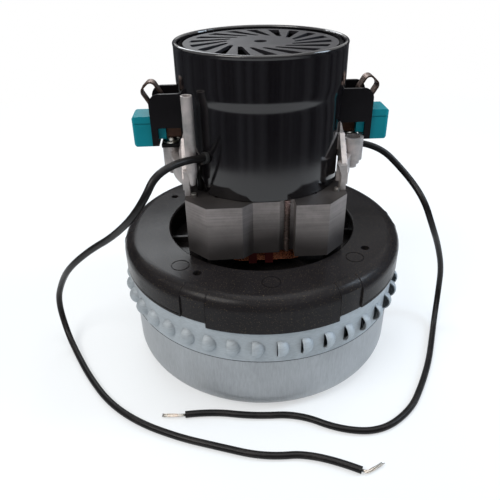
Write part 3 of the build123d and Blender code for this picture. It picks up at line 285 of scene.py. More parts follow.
class NodeTree:
    """A shader's node tree, built by one method for every kind of node."""

    def __init__(self, owner, output):
        owner.use_nodes = True
        self.tree = owner.node_tree
        self.tree.nodes.clear()
        self.out = self.tree.nodes.new(output)

    def feed(self, target, value):
        """Links a value to a socket, or sets a number, vector or colour on it."""
        if isinstance(value, Value):
            self.tree.links.new(value.socket, target)
        elif target.type == "RGBA" and len(value) == 3:
            target.default_value = (*value, 1.0)
        else:
            target.default_value = value

    def node(self, kind, settings=None, inputs=None, output=0):
        """Adds a node with its settings and inputs, and gives one of its outputs."""
        made = self.tree.nodes.new(kind)
        for key, value in (settings or {}).items():
            setattr(made, key, value)
        for key, value in (inputs or {}).items():
            self.feed(made.inputs[key], value)
        return Value(self, made.outputs[output])

    def seen(self):
        """One where a camera, glossy or transmitted ray looks, and zero for the light itself."""
        camera, glossy, transmitted = (
            self.node("ShaderNodeLightPath", output=f"Is {ray} Ray")
            for ray in ("Camera", "Glossy", "Transmission")
        )
        rays = camera + glossy + transmitted
        return self.node("ShaderNodeMath", {"operation": "MINIMUM"}, {0: rays, 1: 1.0})

    def show(self, shader):
        self.tree.links.new(shader.socket, self.out.inputs[0])

    def place(self):
        return self.node("ShaderNodeTexCoord", output="Object")

    def axis(self, point, name):
        return self.node("ShaderNodeSeparateXYZ", None, {0: point}, name)

    def stretch(self, point, scale):
        return self.node("ShaderNodeVectorMath", {"operation": "MULTIPLY"}, {0: point, 1: scale})

    def noise(self, point, scale, detail=2.0, rough=0.5):
        inputs = {"Vector": point, "Scale": scale, "Detail": detail, "Roughness": rough}
        return self.node("ShaderNodeTexNoise", None, inputs)

    def between(self, value, low, high, out_low=0.0, out_high=1.0):
        """A value's range taken to another range, and held inside it."""
        inputs = {
            "Value": value, "From Min": low, "From Max": high, "To Min": out_low, "To Max": out_high,
        }
        return self.node("ShaderNodeMapRange", {"clamp": True}, inputs)

    def spread(self, noise, low, high):
        """A noise spread over a range, such as that of a roughness that wanders."""
        return self.between(noise, NOISE_LOW, NOISE_HIGH, low, high)

    def blend(self, factor, first, second):
        inputs = {MIX_FACTOR: factor, MIX_FIRST: first, MIX_SECOND: second}
        return self.node("ShaderNodeMix", {"data_type": "RGBA"}, inputs, MIX_RESULT)

    def rounded(self, radius):
        """Normals that round the sharp edges of a machined or moulded solid."""
        return self.node("ShaderNodeBevel", {"samples": 4}, {"Radius": radius})

    def bump(self, height, depth, strength=1.0, normal=None):
        inputs = {"Height": height, "Distance": depth, "Strength": strength}
        if normal is not None:
            inputs["Normal"] = normal
        return self.node("ShaderNodeBump", None, inputs)


class Finish(NodeTree):
    """A material with one Principled shader."""

    def __init__(self, name, **constants):
        self.material = bpy.data.materials.new(name)
        super().__init__(self.material, "ShaderNodeOutputMaterial")
        self.shader = self.tree.nodes.new("ShaderNodeBsdfPrincipled")
        self.tree.links.new(self.shader.outputs[0], self.out.inputs[0])
        self.set(**constants)

    def set(self, **sockets):
        """Links or sets sockets of the Principled shader, by their names."""
        for label, value in sockets.items():
            self.feed(self.shader.inputs[label.replace("_", " ")], value)


def darker(colour, share):
    return tuple(channel * share for channel in colour)


def toned(finish, mask, colour, low, high):
    """A colour that wanders between two shares of itself."""
    return finish.blend(mask, darker(colour, low), darker(colour, high))


# Finishes, one for each of the part's materials

def drawn_aluminium(name, colour, rough, streak, grain, metal=0.6):
    """Sheet aluminium with fine upright brushing."""
    finish = Finish(name, Metallic=metal, Specular_IOR_Level=0.3)
    point = finish.place()
    outward = finish.node(
        "ShaderNodeVectorMath", {"operation": "NORMALIZE"}, {0: finish.stretch(point, FLAT)}
    )
    upright = finish.node(
        "ShaderNodeVectorMath", {"operation": "MULTIPLY_ADD"}, {0: point, 1: (0.0, 0.0, streak), 2: outward}
    )
    lines = finish.noise(upright, scale=grain, detail=4.0, rough=0.65)
    cloud = finish.noise(point, scale=38.0, detail=3.0)
    tone = finish.between(lines * 0.6 + cloud * 0.4, low=0.36, high=0.64)
    finish.set(
        Base_Color=toned(finish, tone, colour, low=0.80, high=1.10),
        Roughness=finish.spread(lines, low=rough - 0.07, high=rough + 0.08),
        Normal=finish.bump(lines, depth=0.03 * MM, strength=0.6, normal=finish.rounded(0.3 * MM)),
    )
    return finish.material


def moulded(name, colour, rough, grain=900.0, relief=0.01 * MM, edge=0.3 * MM, **constants):
    """Moulded plastic, with a faint grain and soft edges."""
    finish = Finish(name, **constants)
    point = finish.place()
    grit = finish.noise(point, scale=grain, detail=3.0)
    cloud = finish.noise(point, scale=55.0)
    finish.set(
        Base_Color=toned(finish, cloud, colour, low=0.75, high=1.3),
        Roughness=finish.between(cloud, 0.35, 0.65, rough - 0.04, rough + 0.06),
        Normal=finish.bump(grit, depth=relief, strength=0.5, normal=finish.rounded(edge)),
    )
    return finish.material


def satin_paint(name, colour):
    """The satin, finely speckled black of the fan-end bracket."""
    finish = Finish(name, Specular_IOR_Level=0.09)
    point = finish.place()
    speck = finish.noise(point, scale=2600.0, detail=1.0)
    cloud = finish.noise(point, scale=45.0, detail=3.0)
    dust = finish.between(speck, low=0.66, high=0.74)
    base = toned(finish, cloud, colour, low=0.7, high=1.5)
    finish.set(
        Base_Color=finish.blend(dust * 0.5, base, BRACKET_DUST),
        Roughness=finish.spread(cloud, low=0.20, high=0.28),
        Normal=finish.bump(speck, depth=0.02 * MM, strength=0.35, normal=finish.rounded(0.5 * MM)),
    )
    return finish.material


def gloss_moulding(name, colour):
    """Gloss black plastic with a faint wave and a little dust."""
    finish = Finish(name, Specular_IOR_Level=0.6)
    point = finish.place()
    wave = finish.noise(point, scale=30.0)
    dust = finish.between(finish.noise(point, scale=2200.0), 0.70, 0.80, 0.0, 0.25)
    finish.set(
        Base_Color=finish.blend(dust, colour, SHROUD_DUST),
        Roughness=finish.spread(wave, low=0.06, high=0.14),
        Normal=finish.bump(wave, depth=0.4 * MM, strength=0.12, normal=finish.rounded(0.4 * MM)),
    )
    return finish.material


def laminated(name, colour, sheet):
    """Stacked steel sheets with a line at each, in shadow at the foot and dark on the top face."""
    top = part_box("stator_core")[1][2]
    finish = Finish(name, Metallic=0.85)
    point = finish.place()
    height = finish.axis(point, "Z")
    edge = finish.node("ShaderNodeMath", {"operation": "PINGPONG"}, {0: height / sheet, 1: 0.5})
    sheets = finish.noise(finish.stretch(point, FINE_RINGS), scale=1.1 / sheet, detail=1.0)
    stain = finish.noise(point, scale=110.0, detail=4.0, rough=0.6)
    lit = finish.between(height, top - 20.0 * MM, top - 5.0 * MM)
    face = finish.between(height, top - 0.15 * MM, top - 0.05 * MM)
    tone = finish.between(sheets * 0.3 + stain * 0.7, low=0.38, high=0.62)
    shade = toned(finish, tone, colour, low=0.72, high=1.15)
    side = finish.blend(lit, darker(colour, 0.42), shade)
    finish.set(
        Base_Color=finish.blend(face, side, darker(colour, 0.30)),
        Roughness=finish.spread(stain, low=0.38, high=0.58),
        Normal=finish.bump(finish.between(edge, 0.0, 0.12), depth=0.03 * MM, strength=0.5),
    )
    return finish.material


def welded(name):
    """A weld bead: dark scale, with a painted highlight towards the top."""
    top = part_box("stack_welds")[1][2]
    finish = Finish(name, Metallic=0.6)
    point = finish.place()
    ripple = finish.node(
        "ShaderNodeTexWave", {"wave_type": "BANDS", "bands_direction": "Z"},
        {"Vector": point, "Scale": 420.0, "Distortion": 3.0, "Detail": 2.0},
    )
    # Painted highlight: the bead's colour grows lighter towards its top.
    top_highlight = finish.between(finish.axis(point, "Z"), top - 8.0 * MM, top + 1.0 * MM)
    finish.set(
        Base_Color=finish.blend(top_highlight, finish.blend(ripple, WELD_VALLEY, WELD_CREST), WELD_TOP_HIGHLIGHT),
        Roughness=finish.between(ripple, 0.0, 1.0, 0.35, 0.6),
        Normal=finish.bump(ripple, depth=0.25 * MM),
    )
    return finish.material


def enamelled_wire(name, colour):
    """Copper wire under clear enamel."""
    finish = Finish(name, Metallic=1.0, Coat_Roughness=0.15)
    point = finish.place()
    cloud = finish.noise(point, scale=160.0, detail=3.0)
    fine = finish.noise(point, scale=1400.0)
    finish.set(
        Base_Color=toned(finish, cloud, colour, low=0.45, high=1.6),
        Roughness=finish.spread(fine, low=0.2, high=0.4),
        Coat_Weight=finish.spread(cloud, low=0.3, high=0.7),
        Normal=finish.bump(fine, depth=0.02 * MM, strength=0.3),
    )
    return finish.material


def woven_tape(name, colour):
    """Lacing tape, woven crosswise."""
    finish = Finish(name, Roughness=0.75)
    point = finish.place()
    weft, warp = (
        finish.node("ShaderNodeTexWave", {"bands_direction": way}, {"Vector": point, "Scale": 700.0})
        for way in ("X", "Z")
    )
    weave = weft * warp
    finish.set(
        Base_Color=toned(finish, weave, colour, low=0.5, high=1.5),
        Normal=finish.bump(weave, depth=0.1 * MM, strength=0.6),
    )
    return finish.material


def cast_metal(name, colour):
    """Die-cast aluminium with a grainy skin, a little warmer where it is bright."""
    bright = tuple(channel * share for channel, share in zip(colour, WORN_SKIN))
    finish = Finish(name, Metallic=0.7)
    point = finish.place()
    grain = finish.noise(point, scale=750.0, detail=4.0, rough=0.7)
    cloud = finish.noise(point, scale=120.0, detail=4.0, rough=0.6)
    patch = finish.between(cloud, low=0.35, high=0.65)
    finish.set(
        Base_Color=finish.blend(patch, darker(colour, 0.72), bright),
        Roughness=finish.spread(grain, low=0.38, high=0.62),
        Normal=finish.bump(grain, depth=0.12 * MM, strength=0.8, normal=finish.rounded(0.4 * MM)),
    )
    return finish.material


def turned_metal(name, colour, rough, tint=None, lines=2600.0):
    """Turned or drawn metal with rings across its length, and patches of a tint."""
    finish = Finish(name, Metallic=1.0)
    point = finish.place()
    rings = finish.noise(finish.stretch(point, RINGS), scale=lines)
    cloud = finish.noise(point, scale=140.0, detail=3.0)
    tone = finish.between(rings * 0.5 + cloud * 0.5, low=0.36, high=0.64)
    base = toned(finish, tone, colour, low=0.72, high=1.12)
    if tint:
        base = finish.blend(finish.between(cloud, 0.45, 0.62, 0.0, 0.6), base, tint)
    finish.set(
        Base_Color=base,
        Roughness=finish.spread(rings, low=rough - 0.06, high=rough + 0.08),
        Normal=finish.bump(rings, depth=0.01 * MM, strength=0.5, normal=finish.rounded(0.2 * MM)),
    )
    return finish.material


def commutator_copper(name):
    """Copper bars with the brown track that the brushes leave."""
    brush_low, brush_high = (corner[2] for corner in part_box("carbon_brush_left"))
    fade = 1.2 * MM
    track_low, track_high = brush_low - 0.8 * MM, brush_high + 1.0 * MM
    finish = Finish(name, Metallic=1.0)
    point = finish.place()
    height = finish.axis(point, "Z")
    scores = finish.noise(finish.stretch(point, FINE_RINGS), scale=5200.0)
    above = finish.between(height, track_low, track_low + fade)
    below = 1.0 - finish.between(height, track_high - fade, track_high)
    clean = toned(finish, scores, CLEAN_BAR, low=0.7, high=1.2)
    worn = toned(finish, scores, WORN_BAR, low=0.7, high=1.4)
    finish.set(
        Base_Color=finish.blend(above * below, clean, worn),
        Roughness=finish.spread(scores, low=0.22, high=0.42),
        Normal=finish.bump(scores, depth=0.02 * MM, strength=0.6),
    )
    return finish.material


def pressed_carbon(name):
    """Pressed carbon, matte with a graphite glint."""
    finish = Finish(name)
    flake = finish.noise(finish.place(), scale=3000.0)
    finish.set(
        Base_Color=finish.blend(flake, CARBON_MATTE, CARBON_GLINT),
        Metallic=finish.between(flake, 0.55, 0.7, 0.0, 0.6),
        Roughness=finish.spread(flake, low=0.45, high=0.7),
        Normal=finish.bump(flake, depth=0.02 * MM, strength=0.4),
    )
    return finish.material


def sleeve_rubber(name, colour):
    """Rubbery insulation, a little dusty and worn."""
    finish = Finish(name, Specular_IOR_Level=0.2)
    point = finish.place()
    cloud = finish.noise(point, scale=90.0, detail=4.0, rough=0.6)
    fine = finish.noise(point, scale=1200.0, detail=3.0)
    worn = finish.between(cloud * 0.6 + fine * 0.4, low=0.5, high=0.68)
    finish.set(
        Base_Color=finish.blend(worn * 0.4, colour, WORN_RUBBER),
        Roughness=finish.spread(fine, low=0.28, high=0.40),
        Normal=finish.bump(fine, depth=0.03 * MM, strength=0.4),
    )
    return finish.material


def dress(material, *nodes):
    """Puts one finish on CAD nodes whose shape is right as it is."""
    for name in nodes:
        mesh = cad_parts[name].data
        mesh.materials.clear()
        mesh.materials.append(material)
        mesh.polygons.foreach_set("material_index", [0] * len(mesh.polygons))


# Mesh tools

def new_piece(name, mesh, material, body):
    """A piece of the object, on its body and with its finish."""
    mesh.name = name
    piece = bpy.data.objects.new(name, mesh)
    bpy.context.scene.collection.objects.link(piece)
    mesh.materials.clear()
    mesh.materials.append(material)
    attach(piece, body)
    return piece


def studio_piece(name, mesh, material):
    """A thing of the studio, which is no part of the object."""
    thing = bpy.data.objects.new(name, mesh)
    bpy.context.scene.collection.objects.link(thing)
    mesh.materials.append(material)
    return thing


def mesh_of(work):
    """The finished, smoothly shaded mesh of a mesh in the making."""
    mesh = bpy.data.meshes.new("mesh")
    bmesh.ops.recalc_face_normals(work, faces=work.faces)
    work.to_mesh(mesh)
    work.free()
    mesh.polygons.foreach_set("use_smooth", [True] * len(mesh.polygons))
    return mesh


def around(azimuth, radius, height):
    """A point at an azimuth in degrees round the upright axis."""
    turn = math.radians(azimuth)
    return Vector((radius * math.cos(turn), radius * math.sin(turn), height))


def add_tube(work, points, radius, sides, closed=False):
    """A round tube along points, added to a mesh in the making."""
    count = len(points)
    rings = []
    side = None
    for i, point in enumerate(points):
        ahead = points[(i + 1) % count] if closed or i + 1 < count else point
        behind = points[i - 1] if closed or i > 0 else point
        along = (ahead - behind).normalized()
        if side is None:
            side = along.orthogonal().normalized()
        side = (side - along * side.dot(along)).normalized()
        other = along.cross(side)
        ring = []
        for j in range(sides):
            turn = 2 * math.pi * j / sides
            ring.append(work.verts.new(point + radius * (math.cos(turn) * side + math.sin(turn) * other)))
        rings.append(ring)
    pairs = list(zip(rings, rings[1:]))
    if closed:
        shift = min(range(sides), key=lambda k: (rings[-1][0].co - rings[0][k].co).length)
        pairs.append((rings[-1], rings[0][shift:] + rings[0][:shift]))
    for ring, after in pairs:
        for j in range(sides):
            k = (j + 1) % sides
            work.faces.new((ring[j], ring[k], after[k], after[j]))
    if not closed:
        work.faces.new(list(reversed(rings[0])))
        work.faces.new(rings[-1])


def add_lathe(work, outline, steps, centre):
    """A solid spun round an upright axis, from radius and height pairs. Gives its rings."""
    rings = []
    for radius, height in outline:
        count = steps if radius else 1
        rings.append([
            work.verts.new(centre + around(360 * i / steps, radius, height)) for i in range(count)
        ])
    for lower, upper in zip(rings, rings[1:]):
        for i in range(steps):
            k = (i + 1) % steps
            corners = (
                lower[i % len(lower)], lower[k % len(lower)], upper[k % len(upper)], upper[i % len(upper)]
            )
            unique = list(dict.fromkeys(corners))
            if len(unique) > 2:
                work.faces.new(unique)
    return rings


def rounded_loop(half_width, low, high, corner, depth, steps=4):
    """One turn of wire round a pole's neck: a rounded rectangle at a given depth."""
    points = []
    for x_sign, z_sign, start in ((1, 1, 0), (-1, 1, 90), (-1, -1, 180), (1, -1, 270)):
        z = high if z_sign > 0 else low
        for i in range(steps + 1):
            turn = math.radians(start + 90 * i / steps)
            points.append(Vector((
                x_sign * (half_width - corner) + corner * math.cos(turn),
                depth,
                z - z_sign * corner + corner * math.sin(turn),
            )))
    return points


# Stage, in metres

Softbox = namedtuple("Softbox", "name place aim size watts colour")

SOFTBOXES = (
    Softbox("key_softbox", (-0.55, -0.45, 0.85), (0.0, 0.0, 0.08), (0.55, 0.35), 5.2, (1.0, 0.98, 0.95)),
    Softbox("window_softbox", (0.75, -0.05, 0.50), (0.0, 0.0, 0.10), (0.18, 0.55), 4.2, (0.70, 0.84, 1.0)),
    Softbox("rear_softbox", (-0.25, 0.75, 0.60), (0.0, 0.0, 0.12), (0.60, 0.25), 2.6, (0.92, 0.96, 1.0)),
    Softbox("top_softbox", (0.10, 0.0, 1.05), (0.0, 0.0, 0.0), (0.7, 0.7), 3.6, (1.0, 1.0, 1.0)),
)

CAMERA_PLACE = Vector((-0.019083, -0.242465, 0.200066))
CAMERA_AHEAD = Vector((0.045000, 0.849692, -0.525358))
CAMERA_LEVEL = Vector((0.998601, -0.052888, 0.0))
CAMERA_ROLL = math.radians(0.966)
SENSOR_WIDTH = 36.0
NEAREST_SEEN = 0.005


def lay_floor(settings):
    """A pale floor that keeps the object's shadow and fades to white beyond it."""
    paper = Finish("studio_paper", Roughness=0.9, Base_Color=tuple(settings.floor_colour))
    white = paper.node("ShaderNodeEmission", None, {"Color": WHITE, "Strength": 1.0})
    away = paper.node("ShaderNodeVectorMath", {"operation": "LENGTH"}, {0: paper.place()}, "Value")
    near, far = settings.shadow_reach, 3 * settings.shadow_reach
    glow = paper.seen() * paper.between(away, near, far, settings.floor_glow, 1.0)
    lit = Value(paper, paper.shader.outputs[0])
    paper.show(paper.node("ShaderNodeMixShader", None, {0: glow, 1: lit, 2: white}))

    half = settings.floor_width / 2
    corners = [(-half, -half, 0.0), (half, -half, 0.0), (half, half, 0.0), (-half, half, 0.0)]
    mesh = bpy.data.meshes.new("studio_floor")
    mesh.from_pydata(corners, [], [(0, 1, 2, 3)])
    studio_piece("studio_floor", mesh, paper.material)


def hang_flags(settings):
    """A ring of dark cloth round the object, which only glossy reflections see, its folds painted as stripes
    of shade and light.
    """
    cloth = Finish("flag_cloth", Roughness=1.0, Specular_IOR_Level=0.0)
    # Painted shade and painted light: upright stripes stand for folds that the flat ring does not have.
    fold_shading = cloth.noise(cloth.stretch(cloth.place(), FLAT), scale=22.0, detail=3.0, rough=0.7)
    cloth.set(Base_Color=cloth.blend(cloth.between(fold_shading, low=0.35, high=0.65), CLOTH_FOLD_SHADE, CLOTH_CREST_LIGHT))

    work = bmesh.new()
    feet, tops = (
        [work.verts.new(around(azimuth, settings.flag_radius, height)) for azimuth in range(0, 360, 10)]
        for height in (0.0, settings.flag_height)
    )
    for i in range(len(feet)):
        work.faces.new((feet[i - 1], feet[i], tops[i], tops[i - 1]))
    flags = studio_piece("studio_flags", mesh_of(work), cloth.material)
    for ray in ("camera", "diffuse", "shadow", "transmission"):
        setattr(flags, f"visible_{ray}", False)


def light_room(settings, scene):
    """Soft light from all round, and white where the room itself is seen."""
    scene.world = scene.world or bpy.data.worlds.new("room")
    room = NodeTree(scene.world, "ShaderNodeOutputWorld")
    colour = room.blend(room.seen(), darker(settings.room_colour, settings.room_strength), WHITE)
    room.show(room.node("ShaderNodeBackground", None, {"Color": colour, "Strength": 1.0}))


def hang_softbox(softbox, scene):
    lamp = bpy.data.lights.new(softbox.name, "AREA")
    lamp.shape = "RECTANGLE"
    lamp.size, lamp.size_y = softbox.size
    lamp.energy = softbox.watts
    lamp.color = softbox.colour
    stand = bpy.data.objects.new(softbox.name, lamp)
    beam = Vector(softbox.aim) - Vector(softbox.place)
    stand.location = softbox.place
    stand.rotation_euler = beam.to_track_quat("-Z", "Y").to_euler()
    scene.collection.objects.link(stand)


def set_camera(settings, scene):
    """The photograph's camera: its place, where it looks, and its slight roll."""
    lens = bpy.data.cameras.new("view")
    lens.lens = settings.focal_length
    lens.sensor_width = SENSOR_WIDTH
    lens.clip_start = NEAREST_SEEN
    ahead = CAMERA_AHEAD.normalized()
    level = CAMERA_LEVEL.normalized()
    level = (level - ahead * level.dot(ahead)).normalized()
    right = Matrix.Rotation(CAMERA_ROLL, 3, ahead) @ level
    turn = Matrix((right, right.cross(ahead), -ahead)).transposed()
    camera = bpy.data.objects.new("view", lens)
    camera.matrix_world = Matrix.Translation(CAMERA_PLACE) @ turn.to_4x4()
    scene.collection.objects.link(camera)
    scene.camera = camera


# Fan case, with the fan-end bracket's places as in its solid

SEAT_RISE = 2.6 * MM
RING_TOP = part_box("stator_core")[0][2] - SEAT_RISE
RING_RADIUS = 72.5 * MM
RING_ROUND = 7.0 * MM
LOBE_AZIMUTHS = (-90, 30, 150)
# The ends of the recesses: degrees from the middle of a lobe, and the height of the edge there
RECESS_ENDS = ((-34.8, 54.6 * MM), (-24.5, 54.0 * MM), (24.5, 54.0 * MM), (34.8, 54.6 * MM))
RIDGE_RADIUS = 0.30 * MM
RIDGE_SINK = 0.05 * MM
RIDGE_STEPS = 6
MARK_AZIMUTHS = (-134.9, -90.1, -44.8)
MARK_REACH = 58.0 * MM
MARK_RISE = 0.02 * MM
MARK_LINE = 0.09 * MM
MARK_INNER_SHARE = 0.93
SEAM_LINE = 0.16 * MM
SEAM_DROP = 0.05 * MM


def mark_bracket(finish, mark_radius):
    """The round mould marks on the ring, each two fine circles."""
    work = bmesh.new()
    for azimuth in MARK_AZIMUTHS:
        centre = around(azimuth, MARK_REACH, RING_TOP + MARK_RISE)
        for radius in (mark_radius, mark_radius * MARK_INNER_SHARE):
            circle = [centre + around(step, radius, 0.0) for step in range(0, 360, 12)]
            add_tube(work, circle, MARK_LINE, sides=5, closed=True)
    new_piece("mould_marks", mesh_of(work), finish, STATIC)


def ridge_bracket(finish):
    """A fine ridge at each end of a recess, up the skirt and over the ring's shoulder."""
    shoulder = RING_TOP - RING_ROUND
    bend_radius = RING_ROUND - RIDGE_SINK
    skirt_reach = RING_RADIUS - 2 * RIDGE_SINK
    work = bmesh.new()
    for lobe in LOBE_AZIMUTHS:
        for offset, foot in RECESS_ENDS:
            rise = [
                around(lobe + offset, skirt_reach, foot + (shoulder - foot) * i / RIDGE_STEPS)
                for i in range(RIDGE_STEPS)
            ]
            bend = []
            for step in range(0, 90, 10):
                turn = math.radians(step)
                reach = RING_RADIUS - RING_ROUND + bend_radius * math.cos(turn)
                bend.append(around(lobe + offset, reach, shoulder + bend_radius * math.sin(turn)))
            add_tube(work, rise + bend, RIDGE_RADIUS, sides=8)
    new_piece("bracket_ridges", mesh_of(work), finish, STATIC)


def line_seam(case_radius):
    """The dark line where the louvre cover meets the lower shell."""
    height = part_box("louvre_cover")[0][2] - SEAM_DROP
    work = bmesh.new()
    circle = [around(step, case_radius, height) for step in range(0, 360, 3)]
    add_tube(work, circle, SEAM_LINE, sides=6, closed=True)
    dark = moulded("seam_shadow", SEAM_SHADOW, rough=0.7)
    new_piece("case_seam", mesh_of(work), dark, STATIC)


# Stator

WELD_RADIUS = 1.1 * MM
BEAD_RADIUS = 1.25 * MM
BEAD_SIDES = 12
BEAD_STEPS = 60
BEAD_SWAY = 0.18 * MM
# Radians that the sway and the ripples go on from one step of the bead to the next
SWAY_STEP, RIPPLE_STEP = 2.3, 1.1
RIPPLE_SLANT = 0.4
# A bead's radius in a valley of its ripples, and what a crest adds, as shares of its own
RIPPLE_VALLEY, RIPPLE_RISE = 0.92, 0.16
BEAD_FOOT_GAP, BEAD_TOP_GAP = 0.4 * MM, 0.2 * MM
COIL_BUILD = 6.0 * MM
COIL_CORNER = 7.5 * MM
LEAST_CORNER = 2.2 * MM
# How far a wire lies out of line, from least to most, in millimetres
COIL_WANDER = (-0.10, 0.06)
# Distance between wires laid side by side, over their thickness
WIRE_PITCH = 1.04


def bead_swell(ring, vert):
    """How far a point of the rippled bead stands out, as a share of the bead's radius."""
    phase = RIPPLE_STEP * ring + RIPPLE_SLANT * math.sin(vert)
    return RIPPLE_VALLEY + RIPPLE_RISE * abs(math.sin(phase))


def bead_welds(finish):
    """The rippled weld bead in each notch of the stack."""
    low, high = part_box("stack_welds")
    foot, top = low[2] + BEAD_FOOT_GAP, high[2] - BEAD_TOP_GAP
    work = bmesh.new()
    for side in (-1, 1):
        middle = Vector((-side * (high[0] - WELD_RADIUS), side * (high[1] - WELD_RADIUS), 0.0))
        spine = [
            middle + Vector((
                BEAD_SWAY * math.sin(SWAY_STEP * i), 0.0, foot + (top - foot) * i / BEAD_STEPS
            ))
            for i in range(BEAD_STEPS + 1)
        ]
        first = len(work.verts)
        add_tube(work, spine, BEAD_RADIUS, BEAD_SIDES)
        work.verts.ensure_lookup_table()
        for i, vert in enumerate(work.verts[first:]):
            ring = i // BEAD_SIDES
            vert.co = spine[ring] + (vert.co - spine[ring]) * bead_swell(ring, i)
    beads = new_piece("ripple_welds", mesh_of(work), finish, STATIC)
    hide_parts("stack_welds")


def wind_field_coil(name, finish, wire, chance):
    """A field coil, wound turn by turn in layers, each wire a little out of line."""
    low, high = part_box(f"field_coil_{name}")
    pitch = wire * WIRE_PITCH
    room = high[1] - low[1] - wire
    turns = int(room / pitch)
    work = bmesh.new()
    for layer in range(int(COIL_BUILD / pitch)):
        inset = layer * pitch
        corner = max(LEAST_CORNER, COIL_CORNER - inset)
        for turn in range(turns + 1):
            edge = wire / 2 + inset - chance.uniform(*COIL_WANDER) * MM
            depth = low[1] + wire / 2 + room * turn / turns
            loop = rounded_loop(high[0] - edge, low[2] + edge, high[2] - edge, corner, depth)
            add_tube(work, loop, wire / 2, sides=6, closed=True)
    coil = new_piece(f"wound_coil_{name}", mesh_of(work), finish, STATIC)
    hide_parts(f"field_coil_{name}")


# Armature

SLOTS = 12
STRANDS_IN_SLOT = 9
STRAND_RADIUS = 0.34 * MM
# Degrees that an end turn spans, and that the strands of a slot fan out
END_TURN_SPAN = 150
SLOT_FAN = 4.0
OUTER_STRAND_INSET = 1.0 * MM
SLOT_DEPTH = 4.6 * MM
END_TURN_HUB = 9.0 * MM
END_TURN_STEPS = 12
LEAST_CROWN = 1.0 * MM
CROWN_GAP = 1.6 * MM
# The share of the way to the hub that an end turn sinks in, and how steeply it rises
END_TURN_SINK, END_TURN_RISE = 0.62, 1.9
# The share of the crown's height that the outermost strand reaches
OUTER_CROWN = 0.35
# How far a strand lies out of line, in millimetres
STRAND_WANDER = 0.12


def end_turn(start, radius, face, crown, chance):
    """A strand's way over an end of the core, in towards the shaft and out to another slot."""
    points = []
    for i in range(END_TURN_STEPS + 1):
        share = i / END_TURN_STEPS
        bulge = math.sin(math.pi * share)
        sink = END_TURN_SINK * bulge * (radius - END_TURN_HUB)
        wander = chance.uniform(-STRAND_WANDER, STRAND_WANDER) * MM
        height = face + (crown - face) * min(1.0, END_TURN_RISE * bulge)
        points.append(around(start + END_TURN_SPAN * share, radius - sink + wander, height))
    return points


def wind_armature(finish):
    """The armature's winding: strands along each slot, and their end turns."""
    low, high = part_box("armature_winding")
    core_foot, core_top = (corner[2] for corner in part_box("armature_core"))
    chance = random.Random(11)
    work = bmesh.new()
    for slot in range(SLOTS):
        start = 360 * slot / SLOTS
        for strand in range(STRANDS_IN_SLOT):
            share = strand / (STRANDS_IN_SLOT - 1)
            radius = high[0] - OUTER_STRAND_INSET - SLOT_DEPTH * share
            for face, end in ((core_top, high[2]), (core_foot, low[2])):
                tallest = abs(end - face) - CROWN_GAP
                rise = LEAST_CROWN + tallest * (OUTER_CROWN + (1 - OUTER_CROWN) * share)
                crown = face + math.copysign(rise, end - face)
                over = end_turn(start, radius, face, crown, chance)
                add_tube(work, over, STRAND_RADIUS, sides=6)
            azimuth = start + (share - 0.5) * SLOT_FAN
            run = [around(azimuth, radius, height) for height in (core_foot, core_top)]
            add_tube(work, run, STRAND_RADIUS, sides=6)
    winding = new_piece("wound_armature", mesh_of(work), finish, ROTOR)
    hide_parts("armature_winding")


# Screws, their outlines as radius and height over the seat, in millimetres

WASHER = ((0.0, 0.0), (4.1, 0.0), (4.15, 0.15), (4.15, 0.85), (4.0, 1.0))
CROWN = ((3.05, 1.02), (3.05, 2.0), (2.7, 2.6), (2.0, 2.92), (1.55, 3.0))
SOCKET = ((1.5, 2.95), (1.35, 1.6), (0.0, 1.3))
WASHER_RADIUS = 4.15 * MM
HEAD_HEIGHT = 3.0 * MM
SOCKET_LOBES = 6
LOBE_DEPTH = 0.22
SHANK_RADIUS = 1.5 * MM
POINT_RADIUS = 1.2 * MM
POINT_LENGTH = 0.4 * MM
SHANK_GAP = 0.01 * MM
THREAD_TURNS = 9
THREAD_STEPS = 12
THREAD_PITCH = 0.7 * MM
THREAD_START = 0.5 * MM
THREAD_RADIUS = 0.18 * MM


def add_screw(work, centre, foot, seat):
    """A washer-head screw with a lobed socket and its thread."""
    head = [(radius * MM, seat + height * MM) for radius, height in WASHER + CROWN + SOCKET]
    rings = add_lathe(work, head, steps=48, centre=centre)
    for ring in rings[-len(SOCKET):-1]:
        for vert in ring:
            arm = (vert.co - centre).xy
            wave = math.cos(SOCKET_LOBES * math.atan2(arm.y, arm.x))
            vert.co.xy = centre.xy + arm * (1.0 - LOBE_DEPTH * (0.5 - 0.5 * wave))
    neck = seat - SHANK_GAP
    shank = (
        (0.0, foot), (POINT_RADIUS, foot), (SHANK_RADIUS, foot + POINT_LENGTH),
        (SHANK_RADIUS, neck), (0.0, neck),
    )
    add_lathe(work, shank, steps=24, centre=centre)
    thread = []
    for i in range(THREAD_STEPS * THREAD_TURNS):
        turns = i / THREAD_STEPS
        height = foot + THREAD_START + THREAD_PITCH * turns
        thread.append(centre + around(360 * turns, SHANK_RADIUS, height))
    add_tube(work, thread, THREAD_RADIUS, sides=5)


def turn_screws(finish):
    low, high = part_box("housing_screws")
    work = bmesh.new()
    for side in (-1, 1):
        centre = Vector((side * (high[0] - WASHER_RADIUS), 0.0, 0.0))
        add_screw(work, centre, low[2], high[2] - HEAD_HEIGHT)
    screws = new_piece("washer_head_screws", mesh_of(work), finish, STATIC)
    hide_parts("housing_screws")


# Brush springs

SPRING_WIRE = 0.3 * MM
COIL_STEPS = 18


